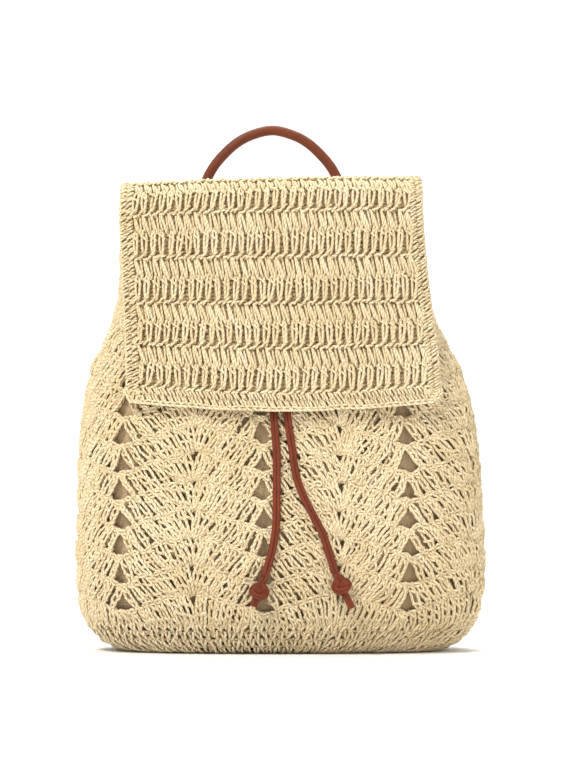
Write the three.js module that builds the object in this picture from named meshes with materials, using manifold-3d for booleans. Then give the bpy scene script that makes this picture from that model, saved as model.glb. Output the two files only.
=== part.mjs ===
// A crocheted straw backpack standing on its oval base.
// A lined sack narrows to a gathered mouth that a leather lace runs through. A straw flap with a
// crocheted edging folds over the mouth from the back, and the two knotted lace ends hang below it.
// A rolled leather handle and two leather shoulder straps are sewn to the back.
// Millimetres, +Z up, the front faces -Y, and the origin is the middle of the base's flat underside.

import * as THREE from "three";
import { mergeVertices } from "three/addons/utils/BufferGeometryUtils.js";
import Module from "manifold-3d";

const wasm = await Module();
wasm.setup();

// The sack
const BAG_WIDTH = 290;
const BAG_DEPTH = 130;
const RIM_HEIGHT = 312;
const STRAW_WALL = 3.2;
const BASE_BAND = 18; // height of the tight rounds that turn up from the base
const SEAM_GAP = 0.4; // clearance between pieces that are sewn or laid on each other
const LINING_WALL = 1.2;
const LINING_TOP = 278;

// The crochet pattern: fans that meet at columns of eyelets
const MOTIFS = 7;
const MOTIF_SHIFT = -0.017; // share of the way round from the front middle to the first column
const ROW_HEIGHT = 19.2;
const FIRST_EYELET = 35; // height of the lowest eyelets' middles
const EYELET_ROWS = 9;
const EYELET_WIDTH = 9.5;
const EYELET_HEIGHT = 13;
const RIB_DEPTH = 1.2; // how far the sack sinks in at a column of eyelets

// The gathered mouth and its lace
const GATHERS = 10;
const GATHER_DEPTH = 6.5;
const GATHER_START = 244; // height where the folds of the mouth begin
const LACE_HEIGHT = 298;
const LACE_WIDTH = 5.5;
const LACE_THICKNESS = 3;
const LACE_OPENING = 34.4; // between the loop's two ends at the front middle
const LOOP_STEPS = 44;
const LACE_INSET = 4.6; // how far inside the back wall's outer face the lace runs

// The flap
const FLAP_WIDTH = 213;
const FLAP_FLARE = 4; // how much wider the flap is at its lower edge
const FLAP_TOP = 338.5;
const FLAP_TILT = 2.4; // how much higher the fold is at its right end than in the middle
const FLAP_HEM = 176.5; // height of the flap's lower edge at its corners
const FLAP_SAG = 9.5; // how much lower the edge hangs in the middle
const FLAP_WALL = 3.2;
const FLAP_LIFT = 5; // room for the lace ends between the sack and the flap
const FLAP_TAIL = 12; // what of the flap is sewn down on the outside of the back
const FLAP_WRAP = 11; // how far the side edges bend back round the sack
const FLAP_CORNER = 10;
const FLAP_LEAN = 9; // sideways drift from the fold to the lower edge
const EDGING_WIDTH = 8.5;
const FLAP_ROWS = [0, 0.045, 0.09, 0.13, 0.17, 0.21, 0.25, 0.29, 0.33, 0.38, 0.44, 0.52, 0.61, 0.7, 0.79, 0.88];
const EDGING_START = 3; // the row where the flap has left its back seam

// The leather pieces
const HANDLE_DIAMETER = 7.2;
const HANDLE_TOP = 390;
const HANDLE_SPREAD = 116;
const HANDLE_TAB = { width: 16, length: 30, thickness: 2.6 };
const HANDLE_FOOT = 266; // height of the lower end of each tab
const STRAP_WIDTH = 20;
const STRAP_THICKNESS = 3;
const STRAP_BOW = 74;
const STRAP_SPACING = 42; // between the straps' middles where they leave the patch
const STRAP_FOOT_SPACING = 196;
const STRAP_FOOT_HEIGHT = 44;
const PATCH = { width: 84, height: 36, foot: 250, thickness: 2.2 };

// Sections of the sack's outer face, from the base to the rim. up is a share of RIM_HEIGHT, wide and
// lean of half BAG_WIDTH, front and back of BAG_DEPTH, and square is the superellipse's exponent.
const SECTIONS = [
  { up: 0, wide: 0.755, front: 0.31, back: 0.29, square: 2.6, lean: 0 },
  { up: 0.01, wide: 0.822, front: 0.362, back: 0.338, square: 2.6, lean: 0 },
  { up: 0.026, wide: 0.88, front: 0.41, back: 0.376, square: 2.6, lean: 0 },
  { up: 0.058, wide: 0.945, front: 0.456, back: 0.416, square: 2.6, lean: 0 },
  { up: 0.11, wide: 0.984, front: 0.496, back: 0.444, square: 2.7, lean: 0 },
  { up: 0.2, wide: 1, front: 0.526, back: 0.458, square: 2.7, lean: 0 },
  { up: 0.32, wide: 0.99, front: 0.535, back: 0.462, square: 2.7, lean: -0.002 },
  { up: 0.45, wide: 0.982, front: 0.53, back: 0.46, square: 2.7, lean: -0.008 },
  { up: 0.56, wide: 0.954, front: 0.502, back: 0.45, square: 2.7, lean: -0.015 },
  { up: 0.65, wide: 0.905, front: 0.452, back: 0.434, square: 2.8, lean: -0.025 },
  { up: 0.72, wide: 0.825, front: 0.396, back: 0.418, square: 3, lean: -0.03 },
  { up: 0.79, wide: 0.77, front: 0.336, back: 0.406, square: 3.3, lean: -0.036 },
  { up: 0.88, wide: 0.745, front: 0.274, back: 0.392, square: 3.6, lean: -0.044 },
  { up: 1, wide: 0.735, front: 0.21, back: 0.376, square: 4, lean: -0.048 },
];

// The handle's line from its top to its foot: out of half HANDLE_SPREAD, down of its height, and off of
// the distance that the arch stands off the back.
const HANDLE_COURSE = [
  { out: 0, down: 0, off: 1 },
  { out: 0.27, down: 0.03, off: 1 },
  { out: 0.46, down: 0.079, off: 1 },
  { out: 0.64, down: 0.158, off: 1 },
  { out: 0.775, down: 0.24, off: 1 },
  { out: 0.88, down: 0.345, off: 1 },
  { out: 0.95, down: 0.47, off: 1 },
  { out: 0.99, down: 0.6, off: 1 },
  { out: 1, down: 0.74, off: 1 },
  { out: 1, down: 0.86, off: 0.6 },
  { out: 1, down: 0.95, off: 0.5 },
];

// A strap's line from its upper to its lower seam: down of the height between them, across of the way
// from the patch to the lower corner, and out of STRAP_BOW.
const STRAP_COURSE = [
  { down: -0.02, across: 0, out: 0 },
  { down: 0.04, across: 0.01, out: 0.005 },
  { down: 0.11, across: 0.04, out: 0.04 },
  { down: 0.25, across: 0.16, out: 0.36 },
  { down: 0.45, across: 0.34, out: 0.72 },
  { down: 0.67, across: 0.54, out: 0.95 },
  { down: 0.87, across: 0.74, out: 0.97 },
  { down: 1.03, across: 0.89, out: 0.78 },
  { down: 1.115, across: 0.96, out: 0.47 },
  { down: 1.1, across: 0.99, out: 0.2 },
  { down: 1.01, across: 1, out: 0.03 },
  { down: 0.93, across: 1, out: 0.003 },
];

// The free lace ends from the front of the mouth to their knots, lying on the sack under the flap
const LACE_LEFT = [
  [-23.2, -28.8, 298], [-21.2, -29, 298], [-15.7, -29.6, 296.5], [-11.7, -30.2, 292.5], [-10.2, -31, 287],
  [-9.8, -33.4, 279], [-9.2, -37.4, 268], [-8.2, -45.4, 246], [-7, -54.4, 221], [-6, -62, 196], [-5, -67.2, 170],
  [-3.8, -69.2, 152], [-2.8, -70.2, 139], [-2.7, -70.9, 121], [-2.7, -71, 110], [-3.2, -70.9, 89],
  [-5.5, -70.8, 73], [-8.6, -71, 62], [-11, -71.4, 54],
];
const LACE_RIGHT = [
  [9.2, -28.8, 298], [7.6, -29, 298], [2.1, -29.6, 296.5], [-1.9, -30.2, 292.5], [-3.4, -31, 287],
  [-3.2, -33.8, 279], [-2.6, -37.8, 268], [-1.2, -45.6, 246], [0.4, -54.6, 221], [2, -62.2, 196], [3.7, -67.5, 170],
  [6.2, -69.5, 152], [8.2, -70.6, 139], [10.4, -71.3, 123.5], [15.1, -71.4, 110], [22.6, -71.4, 95],
  [28.3, -71.3, 84], [33, -71.6, 70], [37.2, -72.2, 57],
];
const KNOT_WIDTH = 13.5;
const KNOT_DEPTH = 9;
const KNOTS = {
  left: { tail: [-18.6, -72, 34] },
  right: { tail: [48.4, -72.6, 33] },
};

const ROUND_STEPS = 8 * MOTIFS; // facets round the sack
const BASE_LEVELS = [0, 0.18, 0.5, 1]; // rings of the base band, as shares of its height
const HALF_TURN = Math.PI;
const TURN = 2 * Math.PI;

const straw = new THREE.MeshStandardMaterial({ color: 0xe8d6a8, roughness: 0.9, metalness: 0 });
const cloth = new THREE.MeshStandardMaterial({ color: 0xb39b7b, roughness: 0.95, metalness: 0 });
const leather = new THREE.MeshStandardMaterial({ color: 0x8a4527, roughness: 0.45, metalness: 0 });
const laceLeather = new THREE.MeshStandardMaterial({ color: 0x96493a, roughness: 0.4, metalness: 0 });

const mix = (a, b, t) => a + (b - a) * t;
const smooth = (low, high, value) => THREE.MathUtils.smoothstep(value, low, high);

// The section at a height, in millimetres
function sectionAt(z) {
  const share = THREE.MathUtils.clamp(z / RIM_HEIGHT, 0, 1);
  const i = Math.max(1, SECTIONS.findIndex((row) => row.up >= share));
  const [low, high] = [SECTIONS[i - 1], SECTIONS[i]];
  const t = (share - low.up) / (high.up - low.up);
  const value = (name) => mix(low[name], high[name], t);
  const front = value("front") * BAG_DEPTH;
  const back = value("back") * BAG_DEPTH;
  return {
    half: (value("wide") * BAG_WIDTH) / 2,
    lean: (value("lean") * BAG_WIDTH) / 2,
    deep: (front + back) / 2,
    middle: (back - front) / 2,
    square: value("square"),
    front,
    back,
  };
}

// The section's outline as points at even steps, from the front middle towards +X
const outlines = new Map();
function outlineAt(z) {
  if (!outlines.has(z)) {
    const { half, lean, deep, middle, square } = sectionAt(z);
    const bend = (v) => Math.sign(v) * Math.abs(v) ** (2 / square);
    const points = [];
    const fine = 480;
    for (let i = 0; i <= fine; i++) {
      const angle = (TURN * i) / fine;
      points.push(new THREE.Vector2(lean + half * bend(Math.sin(angle)), middle - deep * bend(Math.cos(angle))));
    }
    const lengths = [0];
    for (let i = 1; i < points.length; i++) lengths.push(lengths[i - 1] + points[i].distanceTo(points[i - 1]));
    outlines.set(z, { points, lengths, round: lengths.at(-1) });
  }
  return outlines.get(z);
}

function plainPoint(u, z) {
  const { points, lengths, round } = outlineAt(z);
  const wanted = (((u % 1) + 1) % 1) * round;
  let low = 0;
  let high = lengths.length - 1;
  while (high - low > 1) {
    const half = (low + high) >> 1;
    if (lengths[half] <= wanted) low = half;
    else high = half;
  }
  const t = (wanted - lengths[low]) / (lengths[high] - lengths[low]);
  const at = points[low].clone().lerp(points[high], t);
  return new THREE.Vector3(at.x, at.y, z);
}

// How much the mouth's folds show at a place: none at the back, where the flap is sewn on
const gatherShare = (u) => smooth(0.16, 0.25, Math.abs((((u % 1) + 1) % 1) - 0.5));
const gatherDepth = (z) => GATHER_DEPTH * smooth(GATHER_START, RIM_HEIGHT, z);

// How far the sack's face stands out from its plain section
function ripple(u, z) {
  const ribs = RIB_DEPTH * smooth(0, BASE_BAND * 3, z) * (1 - smooth(GATHER_START, RIM_HEIGHT, z));
  const sunk = 0.5 + 0.5 * Math.cos(TURN * MOTIFS * (u - MOTIF_SHIFT));
  return -ribs * sunk - gatherDepth(z) * gatherShare(u) * Math.cos(TURN * GATHERS * u);
}

function facing(pointAt, u, z) {
  const step = 1e-3;
  const low = Math.max(0, z - 0.5);
  const high = Math.min(RIM_HEIGHT, z + 0.5);
  const along = pointAt(u + step, z).sub(pointAt(u - step, z));
  const up = pointAt(u, high).sub(pointAt(u, low));
  return along.cross(up).normalize();
}

// A point of the sack's outer face, or of one that lies depth inside it
function sackPoint(u, z, depth = 0) {
  const flat = facing(plainPoint, u, z).setZ(0).normalize();
  const rippled = (v, h) => plainPoint(v, h).addScaledVector(flat, ripple(v, h));
  return rippled(u, z).addScaledVector(facing(rippled, u, z), -depth);
}

function liningPoint(u, z, depth) {
  const inset = STRAW_WALL + 4 * SEAM_GAP + RIB_DEPTH + 1.3 * gatherDepth(z) + depth;
  return plainPoint(u, z).addScaledVector(facing(plainPoint, u, z), -inset);
}

// The y of the back's outer face at a place, without its ripples
function backAt(x, z) {
  const { half, lean, deep, middle, square } = sectionAt(z);
  const share = Math.min(1, Math.abs(x - lean) / half);
  return middle + deep * (1 - share ** square) ** (1 / square);
}

const frontAt = (z) => -sectionAt(z).front;

// A mesh's geometry from points and triangles, turned so that its faces point out
function solidFrom(points, faces) {
  let volume = 0;
  for (const [a, b, c] of faces) volume += points[a].dot(points[b].clone().cross(points[c]));
  const turned = volume < 0 ? faces.map(([a, b, c]) => [a, c, b]) : faces;
  return new THREE.BufferGeometry()
    .setAttribute("position", new THREE.Float32BufferAttribute(points.flatMap((p) => p.toArray()), 3))
    .setIndex(turned.flat());
}

// Rings of as many points each, joined in order. The ends are capped, or joined to each other.
function loft(rings, joined = false) {
  const around = rings[0].length;
  const points = rings.flat();
  const faces = [];
  const last = joined ? rings.length : rings.length - 1;
  for (let i = 0; i < last; i++) {
    for (let j = 0; j < around; j++) {
      const next = (j + 1) % around;
      const [a, b] = [i * around + j, i * around + next];
      const row = ((i + 1) % rings.length) * around;
      faces.push([a, b, row + next], [a, row + next, row + j]);
    }
  }
  if (!joined) {
    const end = (rings.length - 1) * around;
    for (let j = 1; j < around - 1; j++) faces.push([0, j + 1, j], [end, end + j, end + j + 1]);
  }
  return solidFrom(points, faces);
}

// The solid between two grids of points that face each other
function slab(outer, inner) {
  const [rows, columns] = [outer.length, outer[0].length];
  const points = [...outer.flat(), ...inner.flat()];
  const under = rows * columns;
  const faces = [];
  const quad = (a, b, c, d) => faces.push([a, b, c], [a, c, d]);
  const at = (i, j) => i * columns + j;
  for (let i = 0; i < rows - 1; i++) {
    for (let j = 0; j < columns - 1; j++) {
      quad(at(i, j), at(i, j + 1), at(i + 1, j + 1), at(i + 1, j));
      quad(under + at(i, j), under + at(i + 1, j), under + at(i + 1, j + 1), under + at(i, j + 1));
    }
    quad(at(i, 0), at(i + 1, 0), under + at(i + 1, 0), under + at(i, 0));
    const j = columns - 1;
    quad(at(i + 1, j), at(i, j), under + at(i, j), under + at(i + 1, j));
  }
  for (let j = 0; j < columns - 1; j++) {
    const i = rows - 1;
    quad(at(0, j + 1), at(0, j), under + at(0, j), under + at(0, j + 1));
    quad(at(i, j), at(i, j + 1), under + at(i, j + 1), under + at(i, j));
  }
  return solidFrom(points, faces);
}

function toManifold(geometry) {
  const bare = geometry.clone();
  bare.deleteAttribute("normal");
  bare.deleteAttribute("uv");
  const merged = mergeVertices(bare, 1e-4);
  return new wasm.Manifold(
    new wasm.Mesh({
      numProp: 3,
      vertProperties: new Float32Array(merged.attributes.position.array),
      triVerts: new Uint32Array(merged.index.array),
    }),
  );
}

function toGeometry(manifold) {
  const mesh = manifold.getMesh();
  return new THREE.BufferGeometry()
    .setAttribute("position", new THREE.Float32BufferAttribute(mesh.vertProperties, 3))
    .setIndex([...mesh.triVerts]);
}

const steps = (count) => Array.from({ length: count + 1 }, (_, i) => i / count);
const ring = (pointAt) =>
  Array.from({ length: ROUND_STEPS }, (_, j) => pointAt(MOTIF_SHIFT + (j + 0.5) / ROUND_STEPS));

// Rings up the sack's outer face and down its inner one. The inner face's lowest ring lies at floor.
function wallRings(levels, floor = levels[0]) {
  const outer = levels.map((z) => ring((u) => sackPoint(u, z)));
  const inner = levels.map((z) => ring((u) => sackPoint(u, z, STRAW_WALL)));
  inner[0].forEach((p) => p.setZ(floor));
  inner.at(-1).forEach((p) => p.setZ(levels.at(-1)));
  return [...outer, ...inner.reverse()];
}

// A tube with closed ends along a smooth curve
function tube(points, width, thickness, sides, count) {
  const section = new THREE.Shape();
  for (let i = 0; i < sides; i++) {
    const angle = (TURN * (i + 0.5)) / sides;
    const round = Math.cos(HALF_TURN / sides);
    const [x, y] = [(width / 2 / round) * Math.cos(angle), (thickness / 2 / round) * Math.sin(angle)];
    if (i) section.lineTo(x, y);
    else section.moveTo(x, y);
  }
  section.closePath();
  const curve = new THREE.CatmullRomCurve3(points, false, "centripetal");
  return new THREE.ExtrudeGeometry(section, { steps: count, curveSegments: 1, extrudePath: curve });
}

// The lace where it runs round the mouth, outside the wall's valleys and inside its folds
function loopPoints(count) {
  const open = LACE_OPENING / 2 / outlineAt(LACE_HEIGHT).round;
  return steps(count).map((t) => {
    const u = mix(open, 1 - open, t);
    const inside = LACE_INSET * (1 - gatherShare(u)) + STRAW_WALL / 2;
    const flat = facing(plainPoint, u, LACE_HEIGHT).setZ(0).normalize();
    return plainPoint(u, LACE_HEIGHT).addScaledVector(flat, -inside);
  });
}

function eyeletCutter(column, row) {
  const u = MOTIF_SHIFT + column / MOTIFS;
  const z = FIRST_EYELET + ROW_HEIGHT * row;
  const narrow = outlineAt(z).round / outlineAt(BAG_DEPTH).round;
  const [wide, high] = [EYELET_WIDTH * narrow, EYELET_HEIGHT];
  const triangle = new THREE.Shape([
    new THREE.Vector2(-wide / 2, -high / 2),
    new THREE.Vector2(wide / 2, -high / 2),
    new THREE.Vector2(wide * 0.12, high / 2),
  ]);
  const depth = 4 * STRAW_WALL;
  const cutter = new THREE.ExtrudeGeometry(triangle, { depth, bevelEnabled: false });
  const out = facing(plainPoint, u, z);
  const side = new THREE.Vector3(0, 0, 1).cross(out).normalize();
  const basis = new THREE.Matrix4().makeBasis(side, out.clone().cross(side), out);
  const place = plainPoint(u, z).addScaledVector(out, -depth / 2 - STRAW_WALL / 2);
  return toManifold(cutter.applyMatrix4(basis).translate(place.x, place.y, place.z));
}

function makeBody() {
  const foot = BASE_BAND + SEAM_GAP;
  const heights = SECTIONS.map((row) => row.up * RIM_HEIGHT).filter((z) => z > foot + 4);
  const levels = [foot, ...heights.slice(0, -1), mix(heights.at(-2), RIM_HEIGHT, 0.5), RIM_HEIGHT];
  const wall = toManifold(loft(wallRings(levels), true));
  const cutters = [];
  for (let row = 0; row < EYELET_ROWS; row++) {
    for (let column = 0; column < MOTIFS; column++) cutters.push(eyeletCutter(column, row));
  }
  const room = 2 * SEAM_GAP;
  const [wide, thin] = [LACE_WIDTH + room, LACE_THICKNESS + room];
  cutters.push(toManifold(tube(loopPoints(LOOP_STEPS), wide, thin, 8, LOOP_STEPS)));
  const ways = [LACE_LEFT, LACE_RIGHT].map((list) => laceWay(list).slice(0, 5));
  ways.forEach((way) => cutters.push(toManifold(tube(way, wide, thin, 8, 10))));
  return toGeometry(wall.subtract(wasm.Manifold.union(cutters)));
}

const laceWay = (list) => list.map((p) => new THREE.Vector3(...p));

function makeBase() {
  const levels = BASE_LEVELS.map((t) => t * BASE_BAND);
  return loft(wallRings(levels, STRAW_WALL));
}

function makeLining() {
  const floor = STRAW_WALL + SEAM_GAP;
  const sides = [0.14, 0.3, 0.47, 0.62, 0.74, 0.87, 1].map((t) => t * LINING_TOP);
  const levels = [...BASE_LEVELS.map((t) => t * BASE_BAND), ...sides];
  const every = (points) => points.filter((_, i) => i % 2 === 0);
  const outer = levels.map((z) => every(ring((u) => liningPoint(u, z, 0))));
  const inner = levels.map((z) => every(ring((u) => liningPoint(u, z, LINING_WALL))));
  outer[0].forEach((p) => p.setZ(floor));
  inner[0].forEach((p) => p.setZ(floor + LINING_WALL));
  return loft([...outer, ...inner.reverse()]);
}

// The flap's middle line in the YZ plane, from the back seam over the top and down the front
const flapLine = (() => {
  const off = SEAM_GAP + FLAP_WALL / 2;
  const fold = FLAP_TOP - FLAP_WALL / 2;
  const room = FLAP_LIFT + FLAP_WALL / 2;
  const clear = (z) => frontAt(z) - room - gatherDepth(z);
  const seam = [RIM_HEIGHT - FLAP_TAIL, RIM_HEIGHT - 1].map((z) => [backAt(0, z) + off, z]);
  const rise = fold - RIM_HEIGHT;
  const [back, front] = [backAt(0, RIM_HEIGHT) + off, clear(RIM_HEIGHT)];
  const top = [
    [back - rise * 0.12, RIM_HEIGHT + rise * 0.52],
    [back - rise * 0.75, fold - rise * 0.07],
    [mix(back, front, 0.5), fold],
    [front + rise * 0.8, fold - rise * 0.06],
    [front + rise * 0.18, RIM_HEIGHT + rise * 0.5],
  ];
  const slope = steps(7).map((t) => mix(RIM_HEIGHT - 8, FLAP_HEM, t));
  const down = slope.map((z) => [clear(z), z]);
  const points = [...seam, ...top, ...down].map(([y, z]) => new THREE.Vector3(0, y, z));
  return new THREE.CatmullRomCurve3(points, false, "centripetal");
})();
const flapLength = flapLine.getLength();

// A point of the flap: along is a share of its length and x is measured across it. lift is the distance
// from its middle line outwards.
function flapPoint(along, x, lift) {
  const at = flapLine.getPointAt(along);
  const way = flapLine.getTangentAt(along);
  const out = new THREE.Vector3(0, way.z, -way.y);
  const across = Math.abs(x) / (FLAP_WIDTH / 2);
  const wrap = mix(0.08, 1, smooth(0.3, 0.62, along)) * FLAP_WRAP * across ** 2.6;
  const tail = 1 - smooth(0, 0.14, along);
  const back = sectionAt(RIM_HEIGHT).lean + x;
  const seamWrap = backAt(sectionAt(RIM_HEIGHT).lean, at.z) - backAt(back, at.z);
  const sag = FLAP_SAG * smooth(0.4, 1, along) * (1 - across ** 2);
  const lean = sectionAt(RIM_HEIGHT).lean + FLAP_LEAN * smooth(0.45, 1, along);
  const tilt = (FLAP_TILT * 2 * x) / FLAP_WIDTH;
  const rise = tilt * smooth(0, 0.2, along) * (1 - smooth(0.4, 0.9, along));
  return at
    .addScaledVector(out, lift - mix(wrap, seamWrap, tail))
    .addScaledVector(way, sag)
    .add(new THREE.Vector3(lean + x, 0, rise));
}

// Half the flap's width, eased onto the back seam
function flapHalf(along) {
  const seam = sectionAt(RIM_HEIGHT).half * 0.9;
  const free = (FLAP_WIDTH + FLAP_FLARE * smooth(0.3, 1, along)) / 2;
  return mix(seam, free, smooth(0, FLAP_ROWS[EDGING_START], along));
}

function makeFlap() {
  const inset = EDGING_WIDTH + SEAM_GAP / 2;
  const last = 1 - inset / flapLength;
  const corner = (2 * SEAM_GAP) / flapLength;
  const rows = [...FLAP_ROWS, last - 2 * corner, last];
  const half = (along) => flapHalf(along) - inset - (along === last ? 2 * SEAM_GAP : 0);
  const side = (lift) =>
    rows.map((along) => steps(10).map((t) => flapPoint(along, mix(-1, 1, t) * half(along), lift)));
  return slab(side(FLAP_WALL / 2), side(-FLAP_WALL / 2));
}

// The crocheted edging goes down one side of the flap, round both free corners and up the other side
function makeEdging() {
  const corner = FLAP_CORNER / flapLength;
  const sideRows = [...FLAP_ROWS.slice(EDGING_START), 1 - corner].map((along) => ({ along, turn: 0 }));
  const cornerRows = [0.25, 0.5, 0.75].map((turn) => ({ along: 1 - corner, turn }));
  const left = [...sideRows, ...cornerRows].map(({ along, turn }) => ({ along, turn, x: -1 }));
  const right = left.map((row) => ({ ...row, x: 1 })).reverse();
  const hem = steps(8).map((t) => ({ along: 1 - corner, turn: 1, x: mix(-1, 1, t) }));
  const place = ({ along, turn, x }, inset, lift) => {
    const radius = FLAP_CORNER - inset;
    const half = flapHalf(along);
    const [down, out] = [Math.sin((turn * HALF_TURN) / 2), Math.cos((turn * HALF_TURN) / 2)];
    return flapPoint(along + (down * radius) / flapLength, x * (half - FLAP_CORNER + out * radius), lift);
  };
  const inside = EDGING_WIDTH - SEAM_GAP / 2;
  const side = (lift) =>
    [...left, ...hem, ...right].map((row) => [place(row, 0, lift), place(row, inside, lift)]);
  return slab(side(FLAP_WALL / 2), side(-FLAP_WALL / 2));
}

// A leather piece sewn flat on the back: a rounded strip whose middle is at x, from foot upwards
function backPatch(x, foot, width, height, thickness, off, across, up) {
  const corner = Math.min(width, height) * 0.22;
  const half = (t) => {
    const edge = Math.max(0, corner - Math.min(t, 1 - t) * height);
    return width / 2 - (corner - Math.sqrt(corner ** 2 - edge ** 2)) * 0.98;
  };
  const shares = [0, 0.06, 0.18, ...steps(up).map((t) => mix(0.28, 0.72, t)), 0.82, 0.94, 1];
  const side = (lift) =>
    shares.map((t) =>
      steps(across).map((s) => {
        const [px, pz] = [x + mix(-1, 1, s) * half(t), foot + t * height];
        return new THREE.Vector3(px, backAt(px, pz) + off + lift, pz);
      }),
    );
  return slab(side(thickness), side(0));
}

function makeHandle() {
  const middle = sectionAt(RIM_HEIGHT).lean;
  const radius = HANDLE_DIAMETER / 2;
  const top = HANDLE_TOP - radius;
  const drop = top - HANDLE_FOOT;
  const plane = backAt(middle, RIM_HEIGHT - FLAP_TAIL) + 2 * SEAM_GAP + FLAP_WALL + radius;
  const side = (sign) =>
    HANDLE_COURSE.map(({ out, down, off }) => {
      const [x, z] = [middle + (sign * out * HANDLE_SPREAD) / 2, top - down * drop];
      const seat = backAt(x, z) + SEAM_GAP + radius;
      return new THREE.Vector3(x, off === 1 ? plane : mix(seat, plane, off), z);
    });
  const course = [...side(-1).reverse(), ...side(1).slice(1)];
  const arch = toManifold(tube(course, HANDLE_DIAMETER, HANDLE_DIAMETER, 8, 32));
  const { width, length, thickness } = HANDLE_TAB;
  const tabs = [-1, 1].map((sign) =>
    toManifold(
      backPatch(middle + (sign * HANDLE_SPREAD) / 2, HANDLE_FOOT, width, length, thickness, SEAM_GAP, 4, 1),
    ),
  );
  return toGeometry(wasm.Manifold.union([arch, ...tabs]));
}

function makePatch() {
  const { width, height, foot, thickness } = PATCH;
  return backPatch(sectionAt(foot).lean, foot, width, height, thickness, SEAM_GAP, 6, 1);
}

// A shoulder strap: a flat band along its course, turned to lie on the back at both seams
function makeStrap(sign) {
  const head = PATCH.foot + PATCH.height * 0.86;
  const lean = sectionAt(PATCH.foot).lean;
  const [upper, lower] = [lean + (sign * STRAP_SPACING) / 2, (sign * STRAP_FOOT_SPACING) / 2];
  const onPatch = SEAM_GAP * 2 + PATCH.thickness + STRAP_THICKNESS / 2;
  const onSack = 2 * SEAM_GAP + STRAP_THICKNESS / 2;
  const course = STRAP_COURSE.map(({ down, across, out }) => {
    const [x, z] = [mix(upper, lower, across), mix(head, STRAP_FOOT_HEIGHT, down)];
    const seat = mix(onPatch, onSack, smooth(0.2, 0.9, across));
    const low = Math.min(z, mix(head, STRAP_FOOT_HEIGHT, 0.9));
    const wall = mix(backAt(upper, Math.max(z, PATCH.foot)), backAt(lower, low), smooth(0, 1, across));
    return new THREE.Vector3(x, wall + seat + out * STRAP_BOW, z);
  });
  const curve = new THREE.CatmullRomCurve3(course, false, "centripetal");
  const slope = (backAt(lower - 1, STRAP_FOOT_HEIGHT) - backAt(lower + 1, STRAP_FOOT_HEIGHT)) / 2;
  const rings = steps(30).map((t) => {
    const at = curve.getPointAt(t);
    const way = curve.getTangentAt(t);
    const level = new THREE.Vector3(1, -slope * smooth(0.75, 0.97, t), 0);
    const across = level.addScaledVector(way, -level.dot(way)).normalize();
    const out = across.clone().cross(way).normalize();
    const corner = (s, o) =>
      at.clone().addScaledVector(across, (s * STRAP_WIDTH) / 2).addScaledVector(out, (o * STRAP_THICKNESS) / 2);
    return [corner(-1, -1), corner(1, -1), corner(1, 1), corner(-1, 1)];
  });
  return loft(rings);
}

function makeLoop() {
  return tube(loopPoints(LOOP_STEPS), LACE_WIDTH, LACE_THICKNESS, 8, LOOP_STEPS);
}

function makeLaceEnd(list) {
  return tube(laceWay(list), LACE_WIDTH, LACE_THICKNESS, 8, 34);
}

// An overhand knot under a lace end: a round turn about a full core, and the cut tail
function makeKnot(list, { tail }) {
  const way = laceWay(list);
  const end = way.at(-1);
  const down = end.clone().sub(way.at(-2)).normalize();
  const core = new THREE.SphereGeometry(1, 8, 6).scale(KNOT_WIDTH * 0.4, KNOT_DEPTH / 2, KNOT_WIDTH * 0.52);
  const turn = new THREE.TorusGeometry(KNOT_WIDTH * 0.29, KNOT_WIDTH * 0.2, 6, 10).scale(1, 1, 1.1);
  const middle = end.clone().addScaledVector(down, KNOT_WIDTH * 0.52 + SEAM_GAP);
  const place = (geometry) => geometry.translate(middle.x, middle.y, middle.z);
  const about = new THREE.Vector3(0, -1, 0.9).normalize();
  turn.applyQuaternion(new THREE.Quaternion().setFromUnitVectors(new THREE.Vector3(0, 0, 1), about));
  const cut = tube([middle, new THREE.Vector3(...tail)], LACE_WIDTH, LACE_THICKNESS, 8, 3);
  return toGeometry(wasm.Manifold.union([place(core), place(turn), cut].map(toManifold)));
}

const backpack = new THREE.Group();
function add(name, geometry, material) {
  const mesh = new THREE.Mesh(geometry, material);
  mesh.name = name;
  backpack.add(mesh);
}

add("base", makeBase(), straw);
add("body", makeBody(), straw);
add("lining", makeLining(), cloth);
add("flap", makeFlap(), straw);
add("flap_edging", makeEdging(), straw);
add("handle", makeHandle(), leather);
add("back_patch", makePatch(), leather);
add("strap_left", makeStrap(-1), leather);
add("strap_right", makeStrap(1), leather);
add("drawstring", makeLoop(), laceLeather);
add("lace_end_left", makeLaceEnd(LACE_LEFT), laceLeather);
add("lace_end_right", makeLaceEnd(LACE_RIGHT), laceLeather);
add("knot_left", makeKnot(LACE_LEFT, KNOTS.left), laceLeather);
add("knot_right", makeKnot(LACE_RIGHT, KNOTS.right), laceLeather);

export default backpack;
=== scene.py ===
"""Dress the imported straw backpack: crocheted yarn, leather trim, lining, stage and camera."""

import math

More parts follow.
